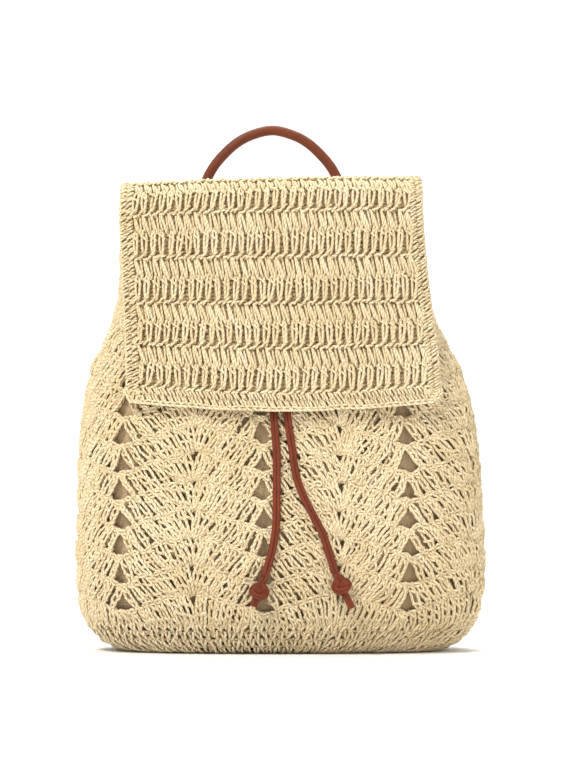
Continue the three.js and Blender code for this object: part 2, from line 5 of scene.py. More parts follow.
import bpy
import numpy as np
from bpy.props import FloatProperty, FloatVectorProperty, IntProperty, PointerProperty
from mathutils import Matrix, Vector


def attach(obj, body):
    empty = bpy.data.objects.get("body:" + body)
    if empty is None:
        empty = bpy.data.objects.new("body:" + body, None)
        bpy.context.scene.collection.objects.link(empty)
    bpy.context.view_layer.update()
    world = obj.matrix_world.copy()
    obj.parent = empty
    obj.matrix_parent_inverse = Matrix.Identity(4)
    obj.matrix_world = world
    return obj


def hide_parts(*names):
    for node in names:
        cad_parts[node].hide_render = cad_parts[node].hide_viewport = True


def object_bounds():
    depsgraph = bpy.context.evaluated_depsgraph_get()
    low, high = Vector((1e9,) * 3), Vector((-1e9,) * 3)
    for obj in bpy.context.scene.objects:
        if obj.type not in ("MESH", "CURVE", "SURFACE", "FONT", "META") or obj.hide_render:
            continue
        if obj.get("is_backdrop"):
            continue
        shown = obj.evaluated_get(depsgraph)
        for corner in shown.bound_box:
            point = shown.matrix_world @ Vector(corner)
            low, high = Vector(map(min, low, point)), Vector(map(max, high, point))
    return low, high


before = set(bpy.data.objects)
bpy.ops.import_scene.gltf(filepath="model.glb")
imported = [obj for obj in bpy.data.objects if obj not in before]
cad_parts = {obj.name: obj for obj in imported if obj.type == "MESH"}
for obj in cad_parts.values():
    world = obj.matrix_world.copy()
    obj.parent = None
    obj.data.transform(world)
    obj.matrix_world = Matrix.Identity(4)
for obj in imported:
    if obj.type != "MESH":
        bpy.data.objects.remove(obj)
CAD_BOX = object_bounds()

bl_info = {
    "name": "Straw Backpack",
    "version": (1, 0, 0),
    "blender": (4, 5, 0),
    "location": "View3D > Sidebar > Straw Backpack",
    "description": "Builds the crochet, leather and lining of a straw backpack over its solids",
    "category": "Add Mesh",
}

# The sack's sections: up as a share of the rim's height, wide and lean of half the width, front and back
# of the depth, and square as the superellipse's exponent.
BAG_WIDTH, BAG_DEPTH, RIM_HEIGHT = 290.0, 130.0, 312.0
SECTIONS = np.array([
    # up, wide, front, back, square, lean
    (0, 0.755, 0.31, 0.29, 2.6, 0),
    (0.01, 0.822, 0.362, 0.338, 2.6, 0),
    (0.026, 0.88, 0.41, 0.376, 2.6, 0),
    (0.058, 0.945, 0.456, 0.416, 2.6, 0),
    (0.11, 0.984, 0.496, 0.444, 2.7, 0),
    (0.2, 1, 0.526, 0.458, 2.7, 0),
    (0.32, 0.99, 0.535, 0.462, 2.7, -0.002),
    (0.45, 0.982, 0.53, 0.46, 2.7, -0.008),
    (0.56, 0.954, 0.502, 0.45, 2.7, -0.015),
    (0.65, 0.905, 0.452, 0.434, 2.8, -0.025),
    (0.72, 0.825, 0.396, 0.418, 3, -0.03),
    (0.79, 0.77, 0.336, 0.406, 3.3, -0.036),
    (0.88, 0.745, 0.274, 0.392, 3.6, -0.044),
    (1, 0.735, 0.21, 0.376, 4, -0.048),
])
MOTIFS, MOTIF_SHIFT, ROW_HEIGHT = 7, -0.017, 19.2
BASE_BAND, SEAM_GAP, STRAW_WALL, LINING_WALL, LINING_TOP = 18.0, 0.4, 3.2, 1.2, 278.0
RIB_DEPTH, GATHERS, GATHER_DEPTH, GATHER_START = 1.2, 10, 6.5, 244.0
FLAP_WIDTH, FLAP_FLARE, FLAP_TOP, FLAP_TILT, FLAP_HEM, FLAP_SAG = 213.0, 4.0, 338.5, 2.4, 176.5, 9.5
FLAP_WALL, FLAP_LIFT, FLAP_TAIL, FLAP_WRAP, FLAP_LEAN = 3.2, 5.0, 12.0, 11.0, 9.0
FLAP_CORNER, EDGING_WIDTH, EDGING_START = 10.0, 8.5, 0.13
LACE_HEIGHT, LACE_WIDTH, LACE_THICKNESS, LACE_OPENING, LACE_INSET = 298.0, 5.5, 3.0, 34.4, 4.6
HANDLE_DIAMETER, HANDLE_TOP, HANDLE_SPREAD, HANDLE_FOOT = 7.2, 390.0, 116.0, 266.0
HANDLE_TAB = (16, 30, 2.6)  # width, height and thickness
STRAP_WIDTH, STRAP_THICKNESS, STRAP_BOW, STRAP_SPACING = 20.0, 3.0, 74.0, 42.0
STRAP_FOOT_SPACING, STRAP_FOOT_HEIGHT = 196.0, 44.0
PATCH_WIDTH, PATCH_HEIGHT, PATCH_FOOT, PATCH_THICKNESS = 84.0, 36.0, 250.0, 2.2

# out of half the handle's spread, down of its height, off of its distance from the back
HANDLE_COURSE = [(0, 0, 1), (0.27, 0.03, 1), (0.46, 0.079, 1), (0.64, 0.158, 1), (0.775, 0.24, 1),
                 (0.88, 0.345, 1), (0.95, 0.47, 1), (0.99, 0.6, 1), (1, 0.74, 1), (1, 0.86, 0.6),
                 (1, 0.95, 0.5)]
# down of the height between a strap's seams, across of the way to the corner, out of its bow
STRAP_COURSE = [(-0.02, 0, 0), (0.04, 0.01, 0.005), (0.11, 0.04, 0.04), (0.25, 0.16, 0.36),
                (0.45, 0.34, 0.72), (0.67, 0.54, 0.95), (0.87, 0.74, 0.97), (1.03, 0.89, 0.78),
                (1.115, 0.96, 0.47), (1.1, 0.99, 0.2), (1.01, 1, 0.03), (0.93, 1, 0.003)]
LACE_LEFT = [(-23.2, -28.8, 298), (-21.2, -29, 298), (-15.7, -29.6, 296.5), (-11.7, -30.2, 292.5),
             (-10.2, -31, 287), (-9.8, -33.4, 279), (-9.2, -37.4, 268), (-8.2, -45.4, 246), (-7, -54.4, 221),
             (-6, -62, 196), (-5, -67.2, 170), (-3.8, -69.2, 152), (-2.8, -70.2, 139), (-2.7, -70.9, 121),
             (-2.7, -71, 110), (-3.2, -70.9, 89), (-5.5, -70.8, 73), (-8.6, -71, 62), (-11, -71.4, 54)]
LACE_RIGHT = [(9.2, -28.8, 298), (7.6, -29, 298), (2.1, -29.6, 296.5), (-1.9, -30.2, 292.5),
              (-3.4, -31, 287), (-3.2, -33.8, 279), (-2.6, -37.8, 268), (-1.2, -45.6, 246),
              (0.4, -54.6, 221), (2, -62.2, 196),
              (3.7, -67.5, 170), (6.2, -69.5, 152), (8.2, -70.6, 139), (10.4, -71.3, 123.5),
              (15.1, -71.4, 110), (22.6, -71.4, 95), (28.3, -71.3, 84), (33, -71.6, 70), (37.2, -72.2, 57)]
KNOT_TAILS = {"left": (-18.6, -72, 34), "right": (48.4, -72.6, 33)}

MM = 0.001
FRONT = np.array((0.0, -1.0, 0.0))

# The sack's crochet in millimetres: fans of posts, whose free edge is wider at the rows with eyelets
HALF_FAN, FIRST_HEAD, FAN_ARCH = 52.0, 27, 15.7
EYELET_ROWS, EYELET_EDGE, PLAIN_EDGE, CHAIN_EDGE = 9, 10.8, 3.0, 4.6
BASE_ROUNDS, BASE_PITCH, FLOOR_PITCH = (2.2, 7.6, 13.0, 18.4), 5.6, 5.2
CALM_EDGES = (18, 40, 298, 310)  # heights where the drift of handwork sets in and fades out

# The flap's crochet: the height of a tall and a slanted row together, where each begins, and the pitches
FLAP_PAIR, TALL_RISE, SLANTED_DROP, FLAP_PITCH = 31.5, 18.4, 15.2, 6.25
BORDER_PITCH, BORDER_SLANT = 5.0, 0.72
HEM_SHARES = (0.33, 0.67)  # the hem's part of the way along the border

# Half the length of a chain link, a hooked bump and a thread stitch, as shares of their pitch
LINK, HOOK, SEWN = 0.62, 0.66, 0.36

# Points along or round a shape, and pieces of the sack
ROUND_STEPS, STRAP_STEPS, HANDLE_STEPS, LACE_STEPS = 2048, 160, 150, 130
ROWS_A_PIECE, RIM_LINKS = 4, 120

CAMERA_SIDE, CAMERA_TILT = 0.005, 3.69  # in metres, and in degrees upwards
rng = np.random.default_rng(7)


def mix(a, b, t):
    return a + (b - a) * t


def smooth(low, high, value):
    t = np.clip((np.asarray(value, float) - low) / (high - low), 0, 1)
    return t * t * (3 - 2 * t)


def unit(v):
    return v / np.maximum(np.linalg.norm(v, axis=-1, keepdims=True), 1e-9)


def bent(v, square):
    """A superellipse's coordinate for a sine or cosine"""
    return np.sign(v) * np.abs(v) ** (2 / square)


def walked(points):
    """The distance along a path to each of its points"""
    return np.concatenate([[0], np.cumsum(np.linalg.norm(np.diff(points, axis=0), axis=1))])


def read_along(at, walk, values):
    """The columns of values, read at distances along their path"""
    return np.stack([np.interp(at, walk, column) for column in values.T], axis=-1)


def spline(points, count):
    """Even points along a smooth curve through the given ones"""
    p = np.array(points, float)
    p = np.vstack([2 * p[0] - p[1], p, 2 * p[-1] - p[-2]])
    pieces = []
    for a, b, c, d in zip(p, p[1:], p[2:], p[3:]):
        d0, d1, d2 = (max(1e-6, np.linalg.norm(y - x) ** 0.5) for x, y in ((a, b), (b, c), (c, d)))
        m1 = ((b - a) / d0 - (c - a) / (d0 + d1) + (c - b) / d1) * d1
        m2 = ((c - b) / d1 - (d - b) / (d1 + d2) + (d - c) / d2) * d1
        t = np.linspace(0, 1, 24, endpoint=False)[:, None]
        pieces.append((2 * t**3 - 3 * t**2 + 1) * b + (t**3 - 2 * t**2 + t) * m1
                      + (3 * t**2 - 2 * t**3) * c + (t**3 - t**2) * m2)
    fine = np.vstack([*pieces, p[-2][None]])
    walk = walked(fine)
    return read_along(np.linspace(0, walk[-1], count), walk, fine)


class Face:
    """A curved face as a table of points and outward directions, read between its entries"""

    def __init__(self, points, round_u):
        self.points = points
        self.round_u = round_u
        if round_u:
            across = np.roll(points, -1, axis=1) - np.roll(points, 1, axis=1)
        else:
            across = np.gradient(points, axis=1)
        self.out = unit(np.cross(across, np.gradient(points, axis=0)))

    def at(self, u, v, lift=0.0):
        """Points and outward directions: u and v run from 0 to 1 over the columns and rows"""
        rows, columns = self.points.shape[:2]
        r = np.clip(v, 0, 1) * (rows - 1)
        i = np.minimum(r.astype(int), rows - 2)
        if self.round_u:
            c = np.mod(u, 1) * columns
            j = c.astype(int) % columns
            k = (j + 1) % columns
        else:
            c = np.clip(u, 0, 1) * (columns - 1)
            j = np.minimum(c.astype(int), columns - 2)
            k = j + 1
        s, t = (c - np.floor(c) if self.round_u else c - j)[..., None], (r - i)[..., None]
        blend = lambda g: mix(mix(g[i, j], g[i, k], s), mix(g[i + 1, j], g[i + 1, k], s), t)
        out = unit(blend(self.out))
        return blend(self.points) + out * np.asarray(lift)[..., None], out


HEIGHTS = np.arange(0, RIM_HEIGHT + 0.5, 1.0)


def section_columns(z):
    """wide, front, back, square and lean of the sack's section at a height"""
    share = np.asarray(z, float) / RIM_HEIGHT
    return [np.interp(share, SECTIONS[:, 0], SECTIONS[:, k]) for k in range(1, 6)]


def back_at(x, z):
    """How far back the sack's back lies at a place"""
    wide, front, back, square, lean = section_columns(z)
    half, lean = wide * BAG_WIDTH / 2, lean * BAG_WIDTH / 2
    deep, middle = (front + back) / 2 * BAG_DEPTH, (back - front) / 2 * BAG_DEPTH
    share = np.minimum(1, np.abs(np.asarray(x) - lean) / half)
    return middle + deep * (1 - share**square) ** (1 / square)


def lean_at(z):
    return float(section_columns(z)[4]) * BAG_WIDTH / 2


def gather_depth(z):
    return GATHER_DEPTH * smooth(GATHER_START, RIM_HEIGHT, z)


def gather_share(u):
    """How much the mouth's folds show: not at the back, where the flap is sewn on"""
    return smooth(0.16, 0.25, np.abs(np.mod(u, 1) - 0.5))


def plain_sack():
    """The sack's outer face without ripples, and the way round it at each height"""
    kernel = np.exp(-0.5 * (np.arange(-12, 13) / 4.0) ** 2)
    kernel /= kernel.sum()
    eased = smooth(12, 34, HEIGHTS)
    columns = []
    for column in section_columns(HEIGHTS):
        soft = np.convolve(np.pad(column, 12, mode="edge"), kernel, "valid")
        columns.append(mix(column, soft, eased))
    wide, front, back, square, lean = columns
    angle = np.linspace(0, 2 * np.pi, 1441)
    even = np.arange(ROUND_STEPS) / ROUND_STEPS
    points, rounds = [], []
    for row, z in enumerate(HEIGHTS):
        deep, middle = (front[row] + back[row]) / 2 * BAG_DEPTH, (back[row] - front[row]) / 2 * BAG_DEPTH
        x = (lean[row] + wide[row] * bent(np.sin(angle), square[row])) * BAG_WIDTH / 2
        y = middle - deep * bent(np.cos(angle), square[row])
        outline = np.stack([x, y, np.full(len(x), z)], axis=1)
        walk = walked(outline)
        rounds.append(walk[-1])
        points.append(read_along(even * walk[-1], walk, outline))
    return Face(np.array(points), True), np.array(rounds)


PLAIN, ROUNDS = plain_sack()


def rippled_sack():
    """The sack's outer face, sunk at its eyelet columns and folded at its mouth"""
    u, z = np.meshgrid(np.arange(ROUND_STEPS) / ROUND_STEPS, HEIGHTS)
    ribs = RIB_DEPTH * smooth(0, 3 * BASE_BAND, z) * (1 - smooth(GATHER_START, RIM_HEIGHT, z))
    sunk = 0.5 + 0.5 * np.cos(2 * np.pi * MOTIFS * (u - MOTIF_SHIFT))
    ripple = -ribs * sunk - gather_depth(z) * gather_share(u) * np.cos(2 * np.pi * GATHERS * u)
    beside = (np.abs(np.mod(u, 1) - 0.5) - 0.25) / 0.035
    pressed = 1 - 0.75 * np.exp(-(beside**2)) * smooth(GATHER_START, 290, z)
    level = unit(PLAIN.out * (1, 1, 0))
    return Face(PLAIN.points + level * (ripple * pressed)[..., None], True)


SACK = rippled_sack()


def round_at(z):
    return np.interp(z, HEIGHTS, ROUNDS)


def flap_line():
    """The flap's middle line from the back seam over the top and down the front"""
    off, fold = SEAM_GAP + FLAP_WALL / 2, FLAP_TOP - FLAP_WALL / 2
    clear = lambda z: float(-section_columns(z)[1] * BAG_DEPTH - FLAP_LIFT - FLAP_WALL / 2 - gather_depth(z))
    seam = [(float(back_at(0, z)) + off, z) for z in (RIM_HEIGHT - FLAP_TAIL, RIM_HEIGHT - 1)]
    rise = fold - RIM_HEIGHT
    back, front = float(back_at(0, RIM_HEIGHT)) + off, clear(RIM_HEIGHT)
    top = [(back - rise * 0.12, RIM_HEIGHT + rise * 0.52), (back - rise * 0.75, fold - rise * 0.07),
           (mix(back, front, 0.5), fold), (front + rise * 0.8, fold - rise * 0.06),
           (front + rise * 0.18, RIM_HEIGHT + rise * 0.5)]
    down = [(clear(z), z) for z in np.linspace(RIM_HEIGHT - 8, FLAP_HEM, 8)]
    return spline([(0, y, z) for y, z in seam + top + down], 600)


FLAP_LINE = flap_line()
FLAP_LENGTH = float(walked(FLAP_LINE)[-1])
FLAP_REACH, HEM_HEIGHT = 112.0, 13.2


def flap_face():
    """The flap's middle face, wrapped round the sack at its seam and at its front"""
    way = unit(np.gradient(FLAP_LINE, axis=0))[:, None]
    out = np.stack([0 * way[..., 0], way[..., 2], -way[..., 1]], axis=-1)
    along = np.linspace(0, 1, len(FLAP_LINE))[:, None]
    x = np.linspace(-FLAP_REACH, FLAP_REACH, 225)[None, :]
    across = np.abs(x) / (FLAP_WIDTH / 2)
    wrap = mix(0.08, 1, smooth(0.3, 0.62, along)) * FLAP_WRAP * across**2.6
    tail = 1 - smooth(0, 0.14, along)
    lean = lean_at(RIM_HEIGHT)
    height = FLAP_LINE[:, 2][:, None]
    seam_wrap = back_at(lean, height) - back_at(lean + x, height)
    sag = FLAP_SAG * smooth(0.4, 1, along) * (1 - across**2)
    shift = lean + FLAP_LEAN * smooth(0.45, 1, along)
    rise = FLAP_TILT * 2 * x / FLAP_WIDTH * smooth(0, 0.2, along) * (1 - smooth(0.4, 0.9, along))
    points = FLAP_LINE[:, None] - out * mix(wrap, seam_wrap, tail)[..., None] + way * sag[..., None]
    points = points + np.stack([shift + x, 0 * x + 0 * along, rise], axis=-1)
    return Face(points, False)


FLAP = flap_face()
FLAP.out *= np.sign(FLAP.out[300, 112, 2] or 1)


def flap_half(along):
    """Half the flap's width at a share of its length"""
    seam = section_columns(RIM_HEIGHT)[0] * BAG_WIDTH / 2 * 0.9
    free = (FLAP_WIDTH + FLAP_FLARE * smooth(0.3, 1, along)) / 2
    return mix(seam, free, smooth(0, EDGING_START, along))


def on_flap(down, x, lift):
    """down is the distance from the back seam along the flap, x across it"""
    return FLAP.at((x + FLAP_REACH) / (2 * FLAP_REACH), down / FLAP_LENGTH, lift)


# Meshes

def ring_faces(index):
    """Quads between neighbouring rings, whose points are index's last axis"""
    nxt = np.roll(index, -1, axis=-1)
    corners = [index[..., :-1, :], index[..., 1:, :], nxt[..., 1:, :], nxt[..., :-1, :]]
    return np.stack(corners, axis=-1).reshape(-1, 4)


def ring_maps(left, right, low, high):
    """The map of each corner of ring_faces"""
    corners = [(left, low), (left, high), (right, high), (right, low)]
    pairs = [np.stack(np.broadcast_arrays(*corner), axis=-1) for corner in corners]
    return np.stack(pairs, axis=-2).reshape(-1, 2)


def fan_faces(tip, ring, following):
    """Triangles from one point to a ring. A face whose last two corners are one is a triangle."""
    return np.stack([np.full(len(ring), tip), ring, following, following], axis=1)


class Skein:
    """Gathers strands of yarn or strips into one mesh with a twist map and a tone for each strand; a straw
    tone above 1 paints shade on its strand
    """

    def __init__(self):
        self.points, self.faces, self.maps, self.tones, self.slots = [], [], [], [], []
        self.count = 0

    def add(self, points, faces, maps, tones=0.5, slot=0):
        """maps has four corners for each face from the first on, and the faces left over get none"""
        self.points.append(points)
        self.faces.append(faces + self.count)
        self.maps.append(np.vstack([maps, np.zeros((4 * len(faces) - len(maps), 2))]))
        self.tones.append(np.broadcast_to(tones, len(points)))
        self.slots.append(np.full(len(faces), slot))
        self.count += len(points)

    def strands(self, path, out, radius, sides=4, tone=None, slot=0):
        """path and out are (strands, points, 3), and radius a number or (strands, points)"""
        many, length = path.shape[:2]
        way = unit(np.gradient(path, axis=1))
        side = unit(np.cross(way, out))
        up = np.cross(side, way)
        angle = 2 * np.pi * (np.arange(sides) + 0.25) / sides
        radius = np.broadcast_to(np.asarray(radius, float), (many, length))[..., None, None]
        turn = np.cos(angle)[:, None] * side[:, :, None] + np.sin(angle)[:, None] * up[:, :, None]
        points = (path[:, :, None] + radius * turn).reshape(-1, 3)
        index = np.arange(many * length * sides).reshape(many, length, sides)
        around = [0, 1, 2, 3 if sides > 3 else 2]
        ends = np.vstack([index[:, 0][:, around], index[:, -1, ::-1][:, around]])
        step = np.linalg.norm(np.diff(path, axis=1), axis=2)
        walk = np.concatenate([np.zeros((many, 1)), np.cumsum(step, axis=1)], axis=1)
        walk = (walk + rng.uniform(0, 40, (many, 1)))[..., None]
        left = np.arange(sides) / sides
        maps = ring_maps(left, left + 1 / sides, walk[:, :-1], walk[:, 1:])
        tone = rng.uniform(0, 1, many) if tone is None else tone
        tones = np.repeat(np.ravel(tone), length * sides)
        self.add(points, np.vstack([ring_faces(index), ends]), maps, tones, slot)

    def sweep(self, path, out, section):
        """A closed section of (across, outwards) points carried along one path, with closed ends"""
        way = unit(np.gradient(path, axis=0))
        side = unit(np.cross(way, out))
        up = np.cross(side, way)
        section = np.array(section, float)
        rings = path[:, None] + (section[:, :1] * side[:, None] + section[:, 1:] * up[:, None])
        index = np.arange(len(path) * len(section)).reshape(len(path), len(section))
        nxt = np.roll(index, -1, axis=1)
        edge, walk = walked(section), walked(path)[:, None]
        last = edge[-1] + np.linalg.norm(section[0] - section[-1])
        maps = ring_maps(edge, np.append(edge[1:], last), walk[:-1], walk[1:])
        points = np.vstack([rings.reshape(-1, 3), rings[0].mean(axis=0), rings[-1].mean(axis=0)])
        first = fan_faces(len(points) - 2, index[0], nxt[0])
        final = fan_faces(len(points) - 1, nxt[-1], index[-1])
        self.add(points, np.vstack([ring_faces(index), first, final]), maps)

    def made(self, name, *materials):
        """The gathered mesh as an object"""
        points = np.vstack(self.points) * MM
        faces = np.vstack(self.faces)
        maps = np.vstack(self.maps)
        thin = faces[:, 2] == faces[:, 3]
        sizes = np.where(thin, 3, 4)
        keep = np.ones(faces.shape, bool)
        keep[thin, 3] = False
        loops = faces[keep]
        mesh = bpy.data.meshes.new(name)
        mesh.vertices.add(len(points))
        mesh.vertices.foreach_set("co", points.astype(np.float32).ravel())
        mesh.loops.add(len(loops))
        mesh.loops.foreach_set("vertex_index", loops.astype(np.int32))
        mesh.polygons.add(len(faces))
        starts = np.concatenate([[0], np.cumsum(sizes)[:-1]])
        mesh.polygons.foreach_set("loop_start", starts.astype(np.int32))
        mesh.polygons.foreach_set("material_index", np.concatenate(self.slots).astype(np.int32))
        layer = mesh.uv_layers.new(name="strand")
        layer.data.foreach_set("uv", maps.reshape(-1, 4, 2)[keep].astype(np.float32).ravel())
        tone = mesh.attributes.new("tone", "FLOAT", "POINT")
        tone.data.foreach_set("value", np.concatenate(self.tones).astype(np.float32))
        mesh.update(calc_edges=True)
        mesh.validate()
        mesh.shade_smooth()
        for material in materials:
            mesh.materials.append(material)
        piece = bpy.data.objects.new(name, mesh)
        bpy.context.scene.collection.objects.link(piece)
        return piece


def dress(skein, name, slot, materials, *nodes):
    """The skein as a piece that rides on the bag and stands for its solids. slot is not used."""
    piece = skein.made(name, *(shared_material(material) for material in materials))
    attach(piece, "root")
    if nodes:
        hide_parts(*nodes)
    return piece


# Materials

class Link:
    """A socket that can be used in sums with others and with numbers"""

    def __init__(self, shade, socket):
        self.shade, self.socket = shade, socket

    def _sum(self, kind, first, second=None):
        return self.shade.node("ShaderNodeMath", {"operation": kind}, {0: first, 1: second})

    def __add__(self, other):
        return self._sum("ADD", self, other)

    def __sub__(self, other):
        return self._sum("SUBTRACT", self, other)

    def __rsub__(self, other):
        return self._sum("SUBTRACT", other, self)

    def __mul__(self, other):
        return self._sum("MULTIPLY", self, other)

    __radd__, __rmul__ = __add__, __mul__

    def sine(self):
        return self._sum("SINE", self)

    def size(self):
        return self._sum("ABSOLUTE", self)

    def ramp(self, low, high):
        """0 below low and 1 above high"""
        return self.shade.node("ShaderNodeMapRange", {"interpolation_type": "SMOOTHSTEP"},
                               {"Value": self, "From Min": low, "From Max": high})


class Shade:
    """A material's nodes, made one at a time"""

    def __init__(self, name):
        self.material = bpy.data.materials.new(name)
        self.material.use_nodes = True
        self.tree = self.material.node_tree
        self.shader = self.tree.nodes["Principled BSDF"]

    def node(self, kind, settings=None, values=None, out=0):
        made = self.tree.nodes.new(kind)
        for name, value in (settings or {}).items():
            setattr(made, name, value)
        for name, value in (values or {}).items():
            if value is not None:
                self.put(made.inputs[name], value)
        return Link(self, made.outputs[out])

    def put(self, socket, value):
        if isinstance(value, Link):
            self.tree.links.new(value.socket, socket)
        elif socket.type == "RGBA" and len(value) == 3:
            socket.default_value = (*value, 1)
        else:
            socket.default_value = value

    def blend(self, share, first, second, kind="MIX"):
        return self.node("ShaderNodeMix", {"data_type": "RGBA", "blend_type": kind},
                         {0: share, 6: first, 7: second}, out=2)

    def noise(self, where, scale, detail=3.0, rough=0.55, out=0):
        return self.node("ShaderNodeTexNoise", None,
                         {"Vector": where, "Scale": scale, "Detail": detail, "Roughness": rough}, out=out)

    def place(self):
        return self.node("ShaderNodeTexCoord", None, None, out=3)

    def stretched(self, where, scale):
        return self.node("ShaderNodeVectorMath", {"operation": "MULTIPLY"}, {0: where, 1: scale})

    def split(self, where, axis):
        return self.node("ShaderNodeSeparateXYZ", None, {0: where}, out=axis)

    def strand(self):
        return self.node("ShaderNodeUVMap", {"uv_map": "strand"})

    def bump(self, height, distance, strength=1.0):
        return self.node("ShaderNodeBump", None,
                         {"Height": height, "Distance": distance, "Strength": strength})

    def done(self, **sockets):
        for name, value in sockets.items():
            self.put(self.shader.inputs[name.replace("_", " ")], value)
        return self.material


def straw_yarn(name, settings):
    """Two-ply twisted paper straw, lighter on the turns, with painted shade in the grooves of the twist and
    on strands whose tone is above 1
    """
    s = Shade(name)
    strand = s.strand()
    round_way, length = s.split(strand, 0), s.split(strand, 1)
    tone = s.node("ShaderNodeAttribute", {"attribute_name": "tone"}, None, out=2)
    place = s.place()
    turn = (length * (1 / settings.twist_pitch) + round_way * 2.0) * math.pi
    # groove is 1 in the twist's grooves, where it paints shade and sinks the bump
    groove = 1 - turn.sine().size().ramp(0.0, 0.55)
    fibres = s.noise(s.stretched(strand, (26, 1.4, 1)), 1.0, 2.0)
    patches = s.noise(place, 14.0, 3.0)
    pale, warm, deep = settings.pale, settings.warm, settings.deep
    colour = s.blend(tone * 0.55 + patches.ramp(0.3, 0.75) * 0.45, pale, warm)
    colour = s.blend(fibres.ramp(0.5, 0.78) * 0.3, colour, deep)
    # painted shade in the twist's grooves
    colour = s.blend(groove * 0.55, colour, deep)
    # painted shade: tones from 1 to 2 darken a strand towards deep
    colour = s.blend(tone.ramp(1.0, 2.0), colour, deep)
    height = (1 - groove) + fibres * 0.35
    return s.done(Base_Color=colour, Roughness=0.62 + 0.2 * fibres, Specular_IOR_Level=0.35,
                  Normal=s.bump(height, 0.0004, 0.8))


def leather(name, dark, mid, light, grain=900.0, rough=0.42):
    """Waxed leather with fine pores, soft creases and paler worn parts"""
    s = Shade(name)
    place = s.place()
    strand = s.strand()
    pores = s.node("ShaderNodeTexVoronoi", {"feature": "DISTANCE_TO_EDGE"}, {"Vector": place, "Scale": grain})
    cells = pores.ramp(0.0, 0.22)
    worn = s.noise(place, 45.0, 4.0)
    streak = s.noise(s.stretched(strand, (0.9, 0.05, 1)), 1.0, 3.0)
    colour = s.blend(worn.ramp(0.3, 0.65) * 0.5 + 0.5, dark, mid)
    colour = s.blend(streak.ramp(0.55, 0.8) * 0.45, colour, light)
    colour = s.blend((1 - cells) * 0.35, colour, dark)
    height = cells * 0.7 + s.noise(place, 260.0, 2.0) * 0.5
    return s.done(Base_Color=colour, Roughness=rough + 0.18 * worn, Specular_IOR_Level=0.28,
                  Coat_Weight=0.03, Normal=s.bump(height, 0.00035, 0.55))


def lining_cloth(name, settings):
    """A plain weave, with painted shade between its threads"""
    s = Shade(name)
    place = s.place()
    x, y, z = (s.split(place, axis) for axis in range(3))
    weft = (z * 3400.0).sine()
    warp = ((x + y) * 3400.0).sine()
    threads = (weft * warp) * 0.5 + 0.5
    fade = s.noise(place, 18.0, 3.0)
    r, g, b = settings.cloth
    # painted shade: the weave darkens to 0.72 of the cloth's colour between its threads
    colour = s.blend(threads * 0.6, (r * 0.72, g * 0.72, b * 0.72), (r, g, b))
    colour = s.blend(fade.ramp(0.35, 0.75) * 0.35, colour, (r * 1.15, g * 1.12, b * 1.05))
    return s.done(Base_Color=colour, Roughness=0.92, Specular_IOR_Level=0.2,
                  Normal=s.bump(threads, 0.0003, 0.6))


def stitching(name, settings):
    """Two-ply thread, with painted shade in the grooves of its twist"""
    s = Shade(name)
    strand = s.strand()
    turn = (s.split(strand, 1) * 1.6 + s.split(strand, 0) * 2.0) * math.pi
    lay = turn.sine().size()
    # painted shade: the thread darkens to brown in its twist's grooves
    colour = s.blend(lay, (0.16, 0.06, 0.03), settings.thread)
    return s.done(Base_Color=colour, Roughness=0.6, Normal=s.bump(lay, 0.0002, 0.7))


# Settings

def colour_field(name, description, default):
    return FloatVectorProperty(name=name, description=description, default=default, subtype="COLOR",
                               min=0, max=1)


class StrawSettings(bpy.types.PropertyGroup):
    """The straw yarn"""

    yarn: FloatProperty(name="Yarn", description="Thickness of a strand, in millimetres", default=2.42,
                        min=1)
    posts: IntProperty(name="Posts", description="Stitches in half a fan", default=10, min=4, max=14)
    twist_pitch: FloatProperty(name="Twist", description="Length of one turn, in millimetres", default=3.4,
                               min=1)
    pale: colour_field("Pale", "Straw in the light", (0.84, 0.71, 0.475))
    warm: colour_field("Warm", "The more golden strands", (0.73, 0.57, 0.325))
    # deep is painted shade in the twist's grooves and on strands with tones above 1, and the colour of the
    # darker fibres
    deep: colour_field("Deep", "Straw in the grooves of the twist", (0.32, 0.205, 0.085))


class LeatherSettings(bpy.types.PropertyGroup):
    """The leather trim and its thread"""

    dark: colour_field("Dark", "Leather in its creases", (0.085, 0.016, 0.006))
    mid: colour_field("Middle", "Leather's main colour", (0.185, 0.039, 0.007))
    light: colour_field("Light", "Leather where it is worn", (0.34, 0.09, 0.028))
    thread: colour_field("Thread", "Colour of the stitching", (0.42, 0.2, 0.1))
    lace: colour_field("Lace", "Main colour of the lace", (0.2, 0.032, 0.006))
    lace_dark: colour_field("Lace Dark", "Lace in its creases", (0.10, 0.014, 0.003))
    stitch: FloatProperty(name="Stitch", description="Length of a stitch, in millimetres", default=4.2, min=2)


class LiningSettings(bpy.types.PropertyGroup):
    """The lining"""

    cloth: colour_field("Cloth", "Colour of the lining", (0.56, 0.41, 0.24))


class StageSettings(bpy.types.PropertyGroup):
    """The camera and the light"""

    distance: FloatProperty(name="Distance", description="Camera to the bag's middle", default=1.4,
                            unit="LENGTH")
    height: FloatProperty(name="Height", description="Camera above the floor", default=0.1, unit="LENGTH")
    lens: FloatProperty(name="Lens", description="Focal length, in millimetres", default=121.5, min=20)
    key: FloatProperty(name="Key", description="Power of the main light", default=46.0, unit="POWER")


SETTINGS = {"bag_straw": StrawSettings, "bag_leather": LeatherSettings, "bag_lining": LiningSettings,
            "bag_stage": StageSettings}


def shared_material(name):
    """The material of this name, made when it is first asked for"""
    scene = bpy.context.scene
    c = scene.bag_leather
    makers = {
        "straw_yarn": lambda: straw_yarn(name, scene.bag_straw),
        "trim_leather": lambda: leather(name, c.dark, c.mid, c.light),
        "waxed_lace": lambda: leather(name, c.lace_dark, c.lace, c.light, grain=1300.0, rough=0.34),
        "waxed_thread": lambda: stitching(name, c),
        "lining_cotton": lambda: lining_cloth(name, scene.bag_lining),
    }
    return bpy.data.materials.get(name) or makers[name]()


# The stage

